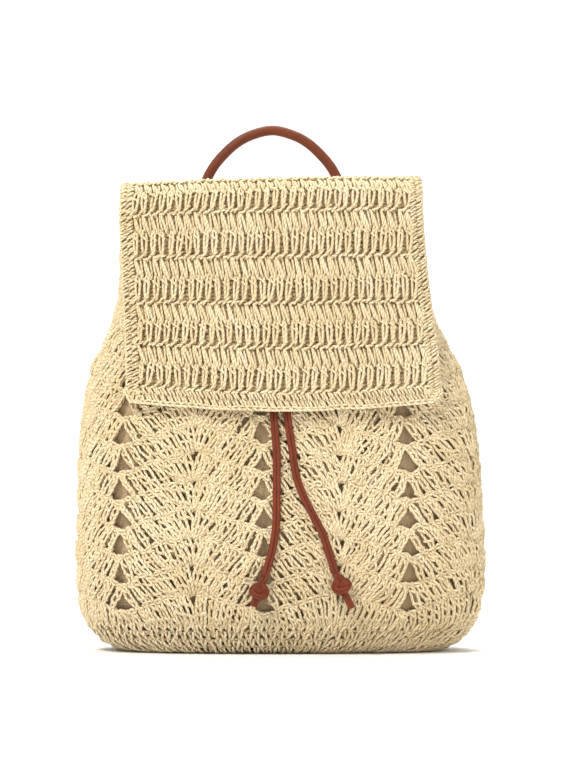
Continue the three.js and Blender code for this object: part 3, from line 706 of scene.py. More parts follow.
class BAG_OT_stage(bpy.types.Operator):
    """Put up the floor, the lights and the camera"""

    bl_idname = "bag.stage"
    bl_label = "Stage"

    def execute(self, context):
        settings = context.scene.bag_stage
        paper = Shade("backdrop_paper")
        grain = paper.noise(paper.place(), 30.0, 2.0)
        paper.done(Base_Color=paper.blend(grain * 0.3, (0.94, 0.94, 0.94), (0.92, 0.92, 0.92)), Roughness=0.9)
        radius, back, wide, high = 1.2, 3.0, 9.0, 6.0
        profile = [(-4.0, 0.0), (back, 0.0)]
        for step in range(1, 13):
            angle = math.pi / 2 * step / 12
            profile.append((back + radius * math.sin(angle), radius * (1 - math.cos(angle))))
        profile.append((back + radius, high))
        points = [(x, y, z) for y, z in profile for x in (-wide, wide)]
        faces = [(2 * i, 2 * i + 1, 2 * i + 3, 2 * i + 2) for i in range(len(profile) - 1)]
        mesh = bpy.data.meshes.new("backdrop")
        mesh.from_pydata(points, [], faces)
        mesh.shade_smooth()
        mesh.materials.append(paper.material)
        backdrop = bpy.data.objects.new("backdrop", mesh)
        context.scene.collection.objects.link(backdrop)
        backdrop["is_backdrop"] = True
        world = bpy.data.worlds.new("studio")
        world.use_nodes = True
        sky = world.node_tree.nodes["Background"].inputs
        sky["Color"].default_value, sky["Strength"].default_value = (1, 1, 1, 1), 0.62
        context.scene.world = world
        context.scene.view_settings.view_transform = "Standard"
        for name, place, power, size in (("key", (-0.95, -1.45, 2.0), settings.key, 0.5),
                                         ("fill", (1.6, -1.6, 0.9), settings.key * 0.19, 1.6),
                                         ("top", (0.1, 0.6, 2.0), settings.key * 0.4, 1.2),
                                         ("wash", (0.0, 2.2, 4.5), settings.key * 3.5, 3.0)):
            light = bpy.data.lights.new(name, "AREA")
            light.energy, light.size = power, size
            lamp = bpy.data.objects.new(name, light)
            lamp.location = place
            aim = np.array((0, 3.9, 1.5) if name == "wash" else (0, 0, 0.18)) - np.array(place)
            lamp.rotation_euler = (math.atan2(math.hypot(aim[0], aim[1]), -aim[2]), 0,
                                   math.atan2(-aim[0], aim[1]))
            context.scene.collection.objects.link(lamp)
        view = bpy.data.cameras.new("view")
        view.sensor_fit, view.sensor_width, view.lens = "HORIZONTAL", 36, settings.lens
        view.clip_start, view.clip_end = 0.05, 30
        camera = bpy.data.objects.new("view", view)
        camera.location = (CAMERA_SIDE, -settings.distance, settings.height)
        camera.rotation_euler = (math.radians(90 + CAMERA_TILT), 0, 0)
        context.scene.collection.objects.link(camera)
        context.scene.camera = camera
        return {"FINISHED"}


# The laces

def rounded_strip(width, thickness, groove=0.0, corner=0.4):
    """The section of a leather strip, with a shallow groove along its outer face"""
    a, b = width / 2, thickness / 2
    c = min(corner * thickness, b)
    outer = [(-a + c, b), (-a * 0.45, b * 1.06), (-a * 0.14, b * 1.02), (0, b - groove), (a * 0.14, b * 1.02),
             (a * 0.45, b * 1.06), (a - c, b)]
    right = [(a - c * 0.3, b - c * 0.3), (a, b - c), (a, -b + c), (a - c * 0.3, -b + c * 0.3)]
    under = [(a - c, -b), (0, -b), (-a + c, -b)]
    left = [(-a + c * 0.3, -b + c * 0.3), (-a, -b + c), (-a, b - c), (-a + c * 0.3, b - c * 0.3)]
    return [(x, y) for x, y in reversed(outer + right + under + left)]


def outwards(path):
    """Level directions out of the sack beside a path in front of it"""
    lean = np.array([lean_at(z) for z in np.clip(path[:, 2], 0, RIM_HEIGHT)])
    turn = (path[:, 0] - lean) / 400.0
    return np.stack([turn, -np.ones(len(path)), 0.0 * turn], axis=1)


class BAG_OT_laces(bpy.types.Operator):
    """Hang the two lace ends down the front and tie their knots"""

    bl_idname = "bag.laces"
    bl_label = "Lace Ends and Knots"

    def execute(self, context):
        for side, points in (("left", LACE_LEFT), ("right", LACE_RIGHT)):
            knot = self.knot(side, points)
            path = spline(points, LACE_STEPS)
            turn = 0.35 * np.sin(np.linspace(0, 7.0, LACE_STEPS) + (0.6 if side == "left" else 2.4))
            out = outwards(path) + np.stack([turn, 0 * turn, 0 * turn], axis=1)
            skein = Skein()
            skein.sweep(path, out, rounded_strip(LACE_WIDTH, LACE_THICKNESS, groove=1.15))
            lace = dress(skein, f"lace_{side}", "lace_leather", ["waxed_lace"], f"lace_end_{side}")
            route = [tuple(v * MM for v in p) for p in points]
            [tuple(p * MM) for p in path[::4]] + [route[-1]]
        return {"FINISHED"}

    def knot(self, side, points):
        """An overhand knot: down behind, round the front, round the back and out below"""
        end = np.array(points[-1], float)
        tail = np.array(KNOT_TAILS[side], float)
        middle = mix(end, tail, 0.36 if side == "right" else 0.48)
        hand = 1.0 if side == "right" else -1.0
        turns = [(-0.4, 0.4, 3.2), (-3.0, 2.2, 2.6), (-4.6, 1.6, -1.4), (-1.6, 3.0, -3.8), (3.0, 2.9, -2.4),
                 (4.9, 0.4, 1.4), (2.2, -2.7, 3.4), (-2.8, -2.9, 1.8), (-4.2, -1.0, -1.8), (-0.9, 0.6, -3.6),
                 (1.6, 0.4, -5.4)]
        course = [end + (0, 0, 2.0), end]
        course += [middle + np.array((hand * x, -y, z)) for x, y, z in turns]
        course += [mix(middle, tail, 0.66), tail]
        path = spline(course, 110)
        out = unit(path - mix(end, tail, 0.36)) * 0.8 + 0.9 * FRONT
        share = np.linspace(0, 1, len(path))
        out = mix(out, np.array((0.1, -1.0, 0.0)), smooth(0.8, 0.9, share)[:, None])
        out = mix(FRONT, out, smooth(0.04, 0.14, share)[:, None])
        skein = Skein()
        skein.sweep(path, out, rounded_strip(4.9, 2.6, groove=0.5))
        band = ((-2.6, 0.4, -2.4), (-1.4, 2.0, -1.0), (0.6, 3.0, 0.7), (2.8, 3.4, 2.6), (4.0, 1.6, 3.6))
        across = spline([middle + (hand * x, -y, z) for x, y, z in band], 24)
        skein.sweep(across, FRONT, rounded_strip(4.2, 2.4, groove=0.4))
        plug = spline([middle + (0, 1.2, 3.4), middle + (0, 0.8, 0), middle + (0, 1.2, -3.4)], 12)
        skein.sweep(plug, FRONT, rounded_strip(5.2, 2.2))
        return dress(skein, f"knot_turns_{side}", "lace_leather", ["waxed_lace"], f"knot_{side}")


class BAG_OT_drawstring(bpy.types.Operator):
    """Run the lace round the mouth"""

    bl_idname = "bag.drawstring"
    bl_label = "Drawstring"

    def execute(self, context):
        open_share = LACE_OPENING / 2 / round_at(LACE_HEIGHT)
        u = np.linspace(open_share, 1 - open_share, 220)
        inside = LACE_INSET * (1 - gather_share(u)) + STRAW_WALL / 2
        at, out = PLAIN.at(u, np.full_like(u, LACE_HEIGHT / RIM_HEIGHT))
        level = unit(out * (1, 1, 0))
        skein = Skein()
        strip = rounded_strip(LACE_WIDTH, LACE_THICKNESS, groove=0.5)
        skein.sweep(at - level * inside[:, None], level, strip)
        dress(skein, "mouth_lace", "lace_leather", ["waxed_lace"], "drawstring")
        return {"FINISHED"}


# The crochet

POST_STEPS = np.array([0, 0.14, 0.38, 0.64, 0.87, 1.0])


def wobble(size, many):
    """One random amount for each strand of a group"""
    return rng.normal(0, size, (many, 1))


def hump(t, start, span):
    """Part of a half wave: from start, over span of it"""
    return np.sin(np.pi * (start + span * t))


def row_line(row, share):
    """Height of a row's heads at a share of the way from the fan's middle to the eyelet column"""
    if row < 0:
        return np.full(np.shape(share), BASE_BAND + 1.5)
    arch = FIRST_HEAD + ROW_HEIGHT * row + FAN_ARCH * (1 - share**1.3)
    return np.minimum(arch, RIM_HEIGHT - 1.6)


def fan_shares(count, edge):
    """Where the posts of half a fan stand, from its middle to edge millimetres before its end"""
    return (HALF_FAN - edge) / HALF_FAN * (np.arange(count) / (count - 1)) ** 1.6


def fan_shift(row):
    """How far a fan's middle lies off its place, in turns of the sack: the fans lean as they rise"""
    return 0.0025 + 0.00065 * np.clip(row, 0, 10)


def drift(u, z, seed):
    """Slow unevenness of handwork, from -1 to 1, that joins up round the sack"""
    phase = np.random.default_rng(seed).uniform(0, 2 * np.pi, 8)
    total = 0
    for k, (turns, waves) in enumerate(((11, 31), (19, 17), (29, 43), (37, -23), (53, 12), (61, -37))):
        total = total + np.sin(2 * np.pi * (turns * u + z * waves / 700.0) + phase[k])
    return total / 3.2


def sack_paths(u, z, lift):
    """Points and outward directions on the sack, moved a little by the drift of handwork"""
    calm = smooth(*CALM_EDGES[:2], z) * (1 - smooth(*CALM_EDGES[2:], z))
    shifted = u + 0.9 * calm * drift(u, z, 3) / round_at(z)
    raised = z + 1.1 * calm * drift(u, z, 4)
    return SACK.at(shifted, raised / RIM_HEIGHT, lift + 0.55 * calm * drift(u, z, 5))


def add_sack_strands(skein, u, s, z, lift, radius, tone=None, sides=4):
    """Strands on the sack, s millimetres round it from u"""
    path, out = sack_paths(u + s / round_at(z), z, lift)
    skein.strands(path, out, radius, sides, tone)


def add_posts(skein, u0, z0, u1, z1, yarn):
    """Crochet posts from (u0, z0) up to (u1, z1): two legs that part in the middle, with two wraps"""
    u0, z0, u1, z1 = (values[:, None] for values in (u0, z0, u1, z1))
    many = len(u0)
    z0, z1 = z0 + wobble(0.5, many) - 0.8, z1 + wobble(0.6, many) + 1.2
    s1 = (u1 - u0) * round_at((z0 + z1) / 2) + wobble(0.45, many)
    rise = z1 - z0
    reach = np.maximum(np.hypot(s1, rise), 1)
    ps, pz = rise / reach, -s1 / reach
    t = POST_STEPS[None, :]
    tone = rng.uniform(0, 1, (many, 1))
    bend = wobble(0.45, many) * np.sin(np.pi * t)
    loose = rng.uniform(0.34, 0.62, (many, 1))
    height = np.clip(reach / 16, 0.4, 1)
    for leg in (-1, 1):
        parted = np.sin(np.pi * t**1.25) ** 0.8
        width = (yarn * 0.22 + yarn * loose * parted) * leg + bend
        s, z = s1 * t + ps * width, z0 + rise * t + pz * width
        lift = -2.5 + 2.9 * height * hump(t, 0.08, 0.86) ** 0.7 + 0.25 * leg + wobble(0.3, many)
        radius = yarn / 2 * (1 + wobble(0.05, many)) * (1 - 0.14 * (t < 0.05))
        add_sack_strands(skein, u0, s, z, lift, radius, np.clip(tone + wobble(0.2, many), 0, 1))
    # The back of each post, with tones of 0.9 to 1.5: above 1 they paint shade on it
    back = np.array([0.04, 0.35, 0.7, 0.97])[None, :]
    s, z = s1 * back + 0.4, z0 + rise * back
    add_sack_strands(skein, u0[1:], s[1:], z[1:], -2.9 - 0.4 * np.sin(np.pi * back), yarn * 0.55,
                     rng.uniform(0.9, 1.5, many - 1), sides=3)
    w = np.linspace(-1, 1, 4)[None, :]
    slope = yarn * 0.98
    for share, turn, least in ((0.72, 1.0, 9), (0.36, 0.8, 13)):
        middle = share + wobble(0.06, many)
        s = s1 * middle + ps * w * slope + s1 / reach * -w * yarn * turn
        z = z0 + rise * middle + pz * w * slope + rise / reach * -w * yarn * turn
        keep = (reach > least)[:, 0]
        add_sack_strands(skein, u0[keep], s[keep], z[keep], -0.7 + 1.8 * (1 - w**2), yarn * 0.44,
                         np.clip(tone + 0.15, 0, 1)[keep])


def add_heads(skein, u, z, slope_u, slope_z, yarn, length, base_lift):
    """The chain links that head a row: each a small open loop along the row"""
    u, z, slope_u, slope_z = (values[:, None] for values in (u, z, slope_u, slope_z))
    many = len(u)
    t = np.linspace(-LINK, LINK, 5)[None, :]
    swell = np.sin(np.pi * (t + LINK) / (2 * LINK))
    size = np.hypot(slope_u, slope_z)
    ds, dz = slope_u / size, slope_z / size
    tone = rng.uniform(0, 1, (many, 1))
    wild = wobble(0.3, many)
    z = z + wobble(0.45, many)
    for leg in (-1, 1):
        width = leg * yarn * 0.52 * swell**0.8
        s = ds * t * length - dz * width
        height = z + dz * t * length + ds * width + wobble(0.15, many)
        lift = base_lift + 1.1 * swell - 0.9 * t + wild
        add_sack_strands(skein, u, s, height, lift, yarn * 0.45, np.clip(tone + 0.1 * leg, 0, 1))


class BAG_OT_sack(bpy.types.Operator):
    """Crochet the sack: fans of posts between columns of eyelets"""

    bl_idname = "bag.sack"
    bl_label = "Sack"

    def execute(self, context):
        settings = context.scene.bag_straw
        for number in range(4):
            skein = Skein()
            for row in range(ROWS_A_PIECE * number, ROWS_A_PIECE * (number + 1)):
                self.row(skein, row, settings)
            if number == 3:
                u, rim = np.arange(RIM_LINKS) / RIM_LINKS, np.full(RIM_LINKS, RIM_HEIGHT - 1.9)
                add_heads(skein, u, rim, np.ones(RIM_LINKS), 0 * u, settings.yarn,
                          float(round_at(rim[0])) / RIM_LINKS, base_lift=-1.9)
            dress(skein, f"sack_rows_{number + 1}", "straw", ["straw_yarn"],
                  *(("body",) if number == 0 else ()))
        return {"FINISHED"}

    def row(self, skein, row, settings):
        """One round of posts and its heads, from fan to fan"""
        count, yarn = settings.posts, settings.yarn
        edge = EYELET_EDGE if 1 <= row <= EYELET_ROWS else PLAIN_EDGE
        tops = mix(CHAIN_EDGE / HALF_FAN, 0.985, np.arange(count) / (count - 1))
        for motif in range(MOTIFS):
            middle = MOTIF_SHIFT + (motif + 0.5) / MOTIFS
            for side in (-1, 1):
                foots = fan_shares(count, edge + rng.uniform(-1.3, 1.3))
                if row == 0:
                    foots = mix(tops, foots, 0.6)
                u0 = middle + side * foots / (2 * MOTIFS) + fan_shift(row - 1) * (1 - foots)
                u1 = middle + side * tops / (2 * MOTIFS) + fan_shift(row) * (1 - tops)
                z0, z1 = row_line(row - 1, foots), row_line(row, tops)
                tall = z1 - z0 > 3.5
                add_posts(skein, u0[tall], z0[tall], u1[tall], z1[tall], yarn)
                ahead = np.minimum(tops + 0.05, 1)
                ahead = np.where(tops > 0.94, tops - 0.05, ahead)
                du = side * np.abs(ahead - tops) / (2 * MOTIFS) * round_at(z1)
                dz = (row_line(row, ahead) - row_line(row, tops)) * np.sign(ahead - tops)
                top = slice(1 if row < 12 else 0, None)
                add_heads(skein, u1[top], z1[top] + 0.3, du[top], dz[top], yarn,
                          HALF_FAN / count, base_lift=-1.5)
            self.bridge(skein, row, middle + 1 / (2 * MOTIFS), yarn)

    def bridge(self, skein, row, column, yarn):
        """The chain that crosses a column of eyelets at the head of a row"""
        t = np.linspace(-1, 1, 9)[None, :]
        level = float(row_line(row, np.array(1.0))) + rng.normal(0.6, 0.5)
        for leg in (-1, 1):
            z = level + 0.9 * leg - leg * 0.7 * np.sin(np.pi * t) + 1.1 * t**2 + rng.normal(0, 0.2)
            lift = -1.0 + 0.5 * leg * np.cos(np.pi * t)
            add_sack_strands(skein, column, CHAIN_EDGE * t, z, lift, yarn * 0.46)


class BAG_OT_base(bpy.types.Operator):
    """Crochet the tight rounds of the base and of its turned-up edge"""

    bl_idname = "bag.base"
    bl_label = "Base"

    def execute(self, context):
        yarn = context.scene.bag_straw.yarn
        skein = Skein()
        for level, z in enumerate(BASE_ROUNDS):
            around = float(round_at(z))
            many = int(around / BASE_PITCH)
            u = (np.arange(many) + 0.5 * (level % 2)) / many
            self.stitches(skein, u, z, around / many, yarn)
        self.floor(skein, yarn)
        dress(skein, "base_rounds", "straw", ["straw_yarn"], "base")
        return {"FINISHED"}

    def stitches(self, skein, u, z, pitch, yarn):
        """Small slanted stitches side by side, with a chain along their tops"""
        many = len(u)
        t = np.linspace(0, 1, 5)[None, :]
        slant = rng.normal(0.6, 0.9, (many, 1))
        for leg in (-1, 1):
            s = leg * pitch * (0.04 + 0.3 * t) + pitch * 0.3 * (t - 0.5) * slant + wobble(0.25, many)
            height = np.clip(z - 3.2 + 6.2 * t + wobble(0.5, many), 0.6, None)
            lift = -2.1 + 2.2 * hump(t, 0.12, 0.74) + 0.3 * leg + wobble(0.3, many)
            path, out = sack_paths(u[:, None] + s / round_at(height), height, lift)
            path[..., 2] = np.maximum(path[..., 2], yarn / 2 + 0.15)
            skein.strands(path, out, yarn * 0.43)
        level = np.full(many, z + 1.5)
        add_heads(skein, u, level, np.ones(many), rng.normal(0, 0.35, many), yarn * 0.92, pitch,
                  base_lift=-2.5)

    def floor(self, skein, yarn):
        """Ovals of chain on the flat underside, one inside the other"""
        half_w, half_d = 0.755 * BAG_WIDTH / 2, 0.30 * BAG_DEPTH
        angle = np.linspace(0, 2 * np.pi, 721)
        t = np.linspace(-LINK, LINK, 6)[None, :]
        wave = np.sin(np.pi * (t + LINK) / (2 * LINK)) ** 0.8
        for share in np.linspace(0.93, 0.08, 7):
            a, b = half_w - (1 - share) * half_d, half_d * share
            x, y = a * bent(np.sin(angle), 2.3), -b * bent(np.cos(angle), 2.3) - 0.01 * BAG_DEPTH
            oval = np.stack([x, y], axis=1)
            walk = walked(oval)
            many = int(walk[-1] / FLOOR_PITCH)
            centre = (np.arange(many) + rng.uniform(0, 1)) / many * walk[-1]
            at = centre[:, None] + t * walk[-1] / many
            px, py = np.moveaxis(read_along(at % walk[-1], walk, oval), -1, 0)
            tx, ty = np.gradient(px, axis=1), np.gradient(py, axis=1)
            size = np.maximum(np.hypot(tx, ty), 1e-6)
            for leg in (-1, 1):
                wide = leg * yarn * 0.62 * wave
                path = np.stack([px - ty / size * wide, py + tx / size * wide,
                                 yarn / 2 + 0.2 + 0.7 * (1 - wave) + 0 * px], axis=-1)
                skein.strands(path, np.broadcast_to((0.0, 0.0, -1.0), path.shape), yarn * 0.48)


def add_flap_strand(skein, down, x, lift, radius, tone=None):
    """Strands on the flap, whose down, x and lift are spread to one shape"""
    path, out = on_flap(down, x, lift)
    skein.strands(path, out, radius, tone=tone)


class BAG_OT_flap(bpy.types.Operator):
    """Crochet the flap in tall and slanted rows with a ridge between them, and edge it"""

    bl_idname = "bag.flap"
    bl_label = "Flap"

    def execute(self, context):
        yarn = context.scene.bag_straw.yarn * 0.95
        skein = Skein()
        ridge = FLAP_LENGTH - HEM_HEIGHT
        while ridge > 6:
            self.tall(skein, max(ridge - TALL_RISE, 1.0), ridge - 0.4, yarn)
            self.ridge(skein, ridge, yarn)
            if ridge - 17.8 > 14:
                self.slanted(skein, ridge - FLAP_PAIR + 0.8, ridge - SLANTED_DROP, yarn)
            ridge -= FLAP_PAIR
        self.inner_rows(skein, yarn)
        dress(skein, "flap_rows", "straw", ["straw_yarn"], "flap")
        self.edging(yarn)
        return {"FINISHED"}

    def inner_rows(self, skein, yarn):
        """The inner side of the flap: close rows of yarn that run across it, with tones of 1.4 to 1.6 that
        paint shade on them
        """
        down = np.arange(4.0, FLAP_LENGTH - 5, 2.7)
        half = flap_half(down / FLAP_LENGTH) - 0.4
        t = np.linspace(-1, 1, 40)[None, :]
        wave = 0.4 * np.sin(t * 97 + rng.uniform(0, 6, (len(down), 1)))
        # tones of 1.4 to 1.6: painted shade
        add_flap_strand(skein, down[:, None] + wave, half[:, None] * t, -3.4 + 0.3 * wave, yarn * 0.8,
                        rng.uniform(1.4, 1.6, len(down)))

    def columns(self, down, gap):
        """The stitches' places across the flap, gap of a stitch aside"""
        half = float(flap_half(down / FLAP_LENGTH)) - EDGING_WIDTH + 1.2
        many = int(round(2 * half / FLAP_PITCH))
        return ((np.arange(many) + 0.5 + gap) / many * 2 * half - half)[:, None]

    def tall(self, skein, top, foot, yarn):
        """Upright posts: two legs that part towards the foot, with a slit between neighbours"""
        x = self.columns((top + foot) / 2, 0.0)
        many = len(x)
        x = x + wobble(0.25, many)
        t = POST_STEPS[None, :]
        lean = rng.normal(-0.9, 0.5, (many, 1))
        tone = rng.uniform(0, 1, (many, 1))
        part = rng.uniform(0.32, 0.6, (many, 1))
        for leg in (-1, 1):
            wide = leg * yarn * (0.12 + part * np.sin(np.pi * (1 - t) ** 0.75) ** 0.8)
            xx = x + wide + lean * (0.5 - t) * 2 + wobble(0.2, many)
            down = mix(foot, top + 1.0 * leg, t) + wobble(0.4, many)
            lift = -2.0 + 2.5 * hump(t, 0.06, 0.84) ** 0.7 + 0.35 * leg + wobble(0.3, many)
            add_flap_strand(skein, down, xx, lift, yarn * 0.5, np.clip(tone + 0.15 * leg, 0, 1))
        # shade 0.4 paints shade on the backs of the tall posts
        self.backing(skein, x, top, foot, yarn, 0.4)
        w = np.linspace(-1, 1, 5)[None, :]
        share = rng.normal(0.7, 0.06, (many, 1))
        xx = x + w * yarn * 1.15 + lean * -0.4
        down = mix(foot, top, share) + w * yarn * 1.0
        add_flap_strand(skein, down, xx, -0.6 + 2.0 * (1 - w**2), yarn * 0.44, tone)

    def backing(self, skein, x, top, foot, yarn, shade=0.0):
        """The part of each stitch that runs behind its post; shade above 0 lifts its tones past 1, which
        paints shade on it
        """
        t = np.linspace(0, 1, 4)[None, :]
        xx = x + rng.normal(0, 0.3, (len(x), 1))
        add_flap_strand(skein, mix(foot, top, t), xx, -2.7 - 0.3 * np.sin(np.pi * t), yarn * 0.6,
                        rng.uniform(0.6, 1, len(x)) + shade)

    def slanted(self, skein, top, foot, yarn):
        """Posts that lean to the left at their heads and fork towards the row below"""
        x = self.columns((top + foot) / 2, 0.1)
        many = len(x)
        self.backing(skein, x + 0.8, top, foot, yarn)
        t = POST_STEPS[None, :]
        tone = rng.uniform(0, 1, (many, 1))
        swing = wobble(0.4, many)
        strands = (  # head, tip, bow, up at the foot, down at the head, height, thickness, tone
            (-1.9, 2.9, 0.5, 0, 0, 2.5, 0.5, 0.1),
            (-1.5, 0.6, -0.5, 2.4, 0, 2.1, 0.46, -0.15),
            (2.6, 3.6, 0.3, 1.2, 1.0, 1.5, 0.42, 0.3),
        )
        for head, tip, bow, up, lower, high, thick, shade in strands:
            xx = x + mix(tip, head + swing, t) + bow * np.sin(np.pi * t) + wobble(0.25, many)
            down = mix(foot - up, top + lower, t) + wobble(0.4, many)
            lift = -1.9 + high * hump(t, 0.12, 0.8) ** 0.7 + wobble(0.3, many)
            add_flap_strand(skein, down, xx, lift, yarn * thick, np.clip(tone + shade, 0, 1))

    def ridge(self, skein, down, yarn):
        """Hooked bumps along the head of a row"""
        x = self.columns(down, 0.0)
        many = len(x)
        t = np.linspace(-HOOK, HOOK, 6)[None, :]
        arch = np.cos(np.pi * t / (2 * HOOK))
        for leg in (-1, 1):
            xx = x + t * (3.7 - 0.7 * leg) + 1.4 * leg + wobble(0.4, many)
            dd = down + leg * yarn * 0.45 - t * (3.0 - 1.6 * leg) + wobble(0.5, many)
            lift = -0.7 + 1.5 * arch - 0.9 * t + wobble(0.25, many)
            add_flap_strand(skein, dd, xx, lift, yarn * 0.46)

    def edging(self, yarn):
        """Slanted stitches and a chain, down one side, round the corners, along the hem and up"""
        skein = Skein()
        start, corner = EDGING_START * FLAP_LENGTH, FLAP_LENGTH - FLAP_CORNER
        side = np.linspace(start, corner, 260)
        turn = np.linspace(0, np.pi / 2, 30)[1:]

        def place(inset, hem_inset):
            """Points (down, x) along the edge, moved inwards at the sides and up at the hem"""
            half = flap_half(side / FLAP_LENGTH)
            edge = float(half[-1])
            radius = max(FLAP_CORNER - inset, 0.6)
            reach = edge - FLAP_CORNER
            down = np.concatenate([side, corner + radius * np.sin(turn)])
            x = np.concatenate([half - inset, reach + radius * np.cos(turn)])
            hem = np.linspace(-reach, reach, 300)[1:-1]
            level = np.full(len(hem), FLAP_LENGTH - hem_inset)
            return np.stack([np.concatenate([down, level, down[::-1]]),
                             np.concatenate([-x, hem, x[::-1]])], axis=1)

        outer = place(-0.9, 0.0)
        inner = place(EDGING_WIDTH, HEM_HEIGHT - 0.8)
        walk = walked(outer)
        many = int(walk[-1] / BORDER_PITCH)
        pitch = walk[-1] / many
        centre = ((np.arange(many) + 0.5) * pitch)[:, None]

        def read(way, share):
            """Places on the flap: way along the edge, and share of the border's width inwards"""
            at = np.clip(way, 0, walk[-1])
            both = mix(read_along(at, walk, outer), read_along(at, walk, inner), share[..., None])
            wave = 0.5 * np.sin(at / 9) + 0.45 * np.sin(at / 5.3 + 2)
            return both[..., 0] + wave * np.clip(1 - share, 0, 1), both[..., 1]

        t = np.linspace(0, 1, 6)[None, :]
        tone = rng.uniform(0, 1, many)
        for low, high in ((0.04, 0.56), (0.52, 1.02)):
            for leg in (-1, 1):
                share = low + (high - low) * t + wobble(0.02, many)
                way = centre - BORDER_SLANT * pitch * (t - 0.5) + leg * yarn * 0.46 + wobble(0.25, many)
                down, x = read(way, share)
                lift = -1.5 + 0.3 * leg + 2.0 * hump(t, 0.12, 0.76) + wobble(0.2, many)
                add_flap_strand(skein, down, x, lift, yarn * 0.42, np.clip(tone + 0.2 * leg, 0, 1))
        back = np.linspace(0, 1, 4)[None, :]
        down, x = read(centre, 0.04 + 0.93 * back)
        add_flap_strand(skein, down, x, -2.4, yarn * 0.85, 1 - tone)
        t = np.linspace(-HOOK, HOOK, 6)[None, :]
        arch = np.cos(np.pi * t / (2 * HOOK))
        hem = ((centre > walk[-1] * HEM_SHARES[0]) & (centre < walk[-1] * HEM_SHARES[1]))[:, 0]
        way = centre[hem] + t * pitch
        for leg in (-1, 1):
            down, x = read(way, 0.07 + leg * 0.12 * arch)
            add_flap_strand(skein, down, x, 0.9 * arch - 0.8 * t - 0.1, yarn * 0.46)
        down, x = read(centre[~hem] + t * pitch, 0.05 + 0.05 * arch)
        add_flap_strand(skein, down, x, 0.6 * arch - 0.6 * t - 1.2, yarn * 0.44)
        dress(skein, "flap_border", "straw", ["straw_yarn"], "flap_edging")


# The leather pieces

LEATHER = ["trim_leather", "waxed_thread"]


def add_stitches(skein, path, out, length):
    """A seam of small thread stitches along a path, in the second material"""
    walk = walked(path)
    many = max(1, int(walk[-1] / length))
    centre = (np.arange(many) + 0.5) * walk[-1] / many
    t = np.linspace(-SEWN, SEWN, 5)
    at = centre[:, None] + t * walk[-1] / many
    facing = read_along(at, walk, np.broadcast_to(out, path.shape))
    arch = np.cos(np.pi * t / (2 * SEWN))[None, :, None]
    points = read_along(at, walk, path) + facing * (arch * 0.35 - 0.15)
    skein.strands(points, facing, 0.36, slot=1)


def seat(skein, x, foot, width, height, thickness, off, rows=22, columns=20):
    """A leather patch that lies on the back, with rounded corners and a rolled edge"""
    corner = min(width, height) * 0.22
    s, t = np.meshgrid(np.linspace(-1, 1, columns), np.linspace(0, 1, rows))
    edge = np.maximum(0, corner - np.minimum(t, 1 - t) * height)
    half = width / 2 - (corner - np.sqrt(np.maximum(corner**2 - edge**2, 0)))
    px, pz = x + s * half, foot + t * height
    inset = np.minimum((1 - np.abs(s)) * half, np.minimum(t, 1 - t) * height)
    roll = thickness * 0.55 * (1 - np.clip(inset / 2.2, 0, 1)) ** 2
    face = back_at(px, pz) + off
    front = np.stack([px, face + thickness - roll, pz], axis=-1)
    back = np.stack([px, face + 0.02 * thickness, pz], axis=-1)
    index = np.arange(rows * columns).reshape(rows, columns)
    quad = lambda g: np.stack([g[:-1, :-1], g[:-1, 1:], g[1:, 1:], g[1:, :-1]], axis=-1).reshape(-1, 4)
    outer, inner = quad(index)[:, ::-1], quad(index) + rows * columns
    ring = np.concatenate([index[0], index[1:, -1], index[-1, -2::-1], index[-2:0:-1, 0]])
    nxt, under = np.roll(ring, -1), rows * columns
    sides = np.stack([ring, nxt, nxt + under, ring + under], axis=-1)
    faces = np.vstack([outer, inner, sides])
    points = np.vstack([front.reshape(-1, 3), back.reshape(-1, 3)])
    flat = np.stack([px, pz], axis=-1).reshape(-1, 2)
    skein.add(points, faces, np.vstack([flat, flat])[faces].reshape(-1, 2))


def seam_round(x, foot, width, height, lift, inset):
    """A closed seam line inside the edge of a patch"""
    a, b = width / 2 - inset, height / 2 - inset
    angle = np.linspace(0, 2 * np.pi, 120)
    px, pz = x + a * bent(np.cos(angle), 5.0), foot + height / 2 + b * bent(np.sin(angle), 5.0)
    return np.stack([px, back_at(px, pz) + lift, pz], axis=1), -FRONT


class BAG_OT_handle(bpy.types.Operator):
    """Roll the handle, close it with a seam and sew down its tabs"""

    bl_idname = "bag.handle"
    bl_label = "Handle"

    def execute(self, context):
        settings = context.scene.bag_leather
        middle, radius = lean_at(RIM_HEIGHT), HANDLE_DIAMETER / 2
        top = HANDLE_TOP - radius
        drop = top - HANDLE_FOOT
        plane = float(back_at(middle, RIM_HEIGHT - FLAP_TAIL)) + 2 * SEAM_GAP + FLAP_WALL + radius
        sides = {}
        for sign in (-1, 1):
            sides[sign] = []
            for out, down, off in HANDLE_COURSE:
                x, z = middle + sign * out * HANDLE_SPREAD / 2, top - down * drop
                wall = float(back_at(x, z)) + SEAM_GAP + radius
                sides[sign].append((x, plane if off == 1 else mix(wall, plane, off), z))
        course = sides[-1][::-1] + sides[1][1:]
        path = spline(course, HANDLE_STEPS)
        angle = np.linspace(0, 2 * np.pi, 20, endpoint=False)
        pinch = 1 - 0.1 * np.exp(-((np.abs(angle - np.pi * 1.5)) / 0.25) ** 2)
        section = 1.07 * radius * np.stack([np.cos(angle) * pinch, np.sin(angle) * pinch], axis=1)
        skein = Skein()
        skein.sweep(path, FRONT, section)
        add_stitches(skein, path - FRONT * radius * 0.95, -FRONT, settings.stitch)
        width, height, thickness = HANDLE_TAB
        for sign in (-1, 1):
            x = middle + sign * HANDLE_SPREAD / 2
            seat(skein, x, HANDLE_FOOT, width, height, thickness, SEAM_GAP)
            seam = seam_round(x, HANDLE_FOOT, width, height, SEAM_GAP + thickness + 0.05, 2.4)
            add_stitches(skein, *seam, settings.stitch * 0.7)
        dress(skein, "rolled_handle", "leather", LEATHER, "handle")
        return {"FINISHED"}


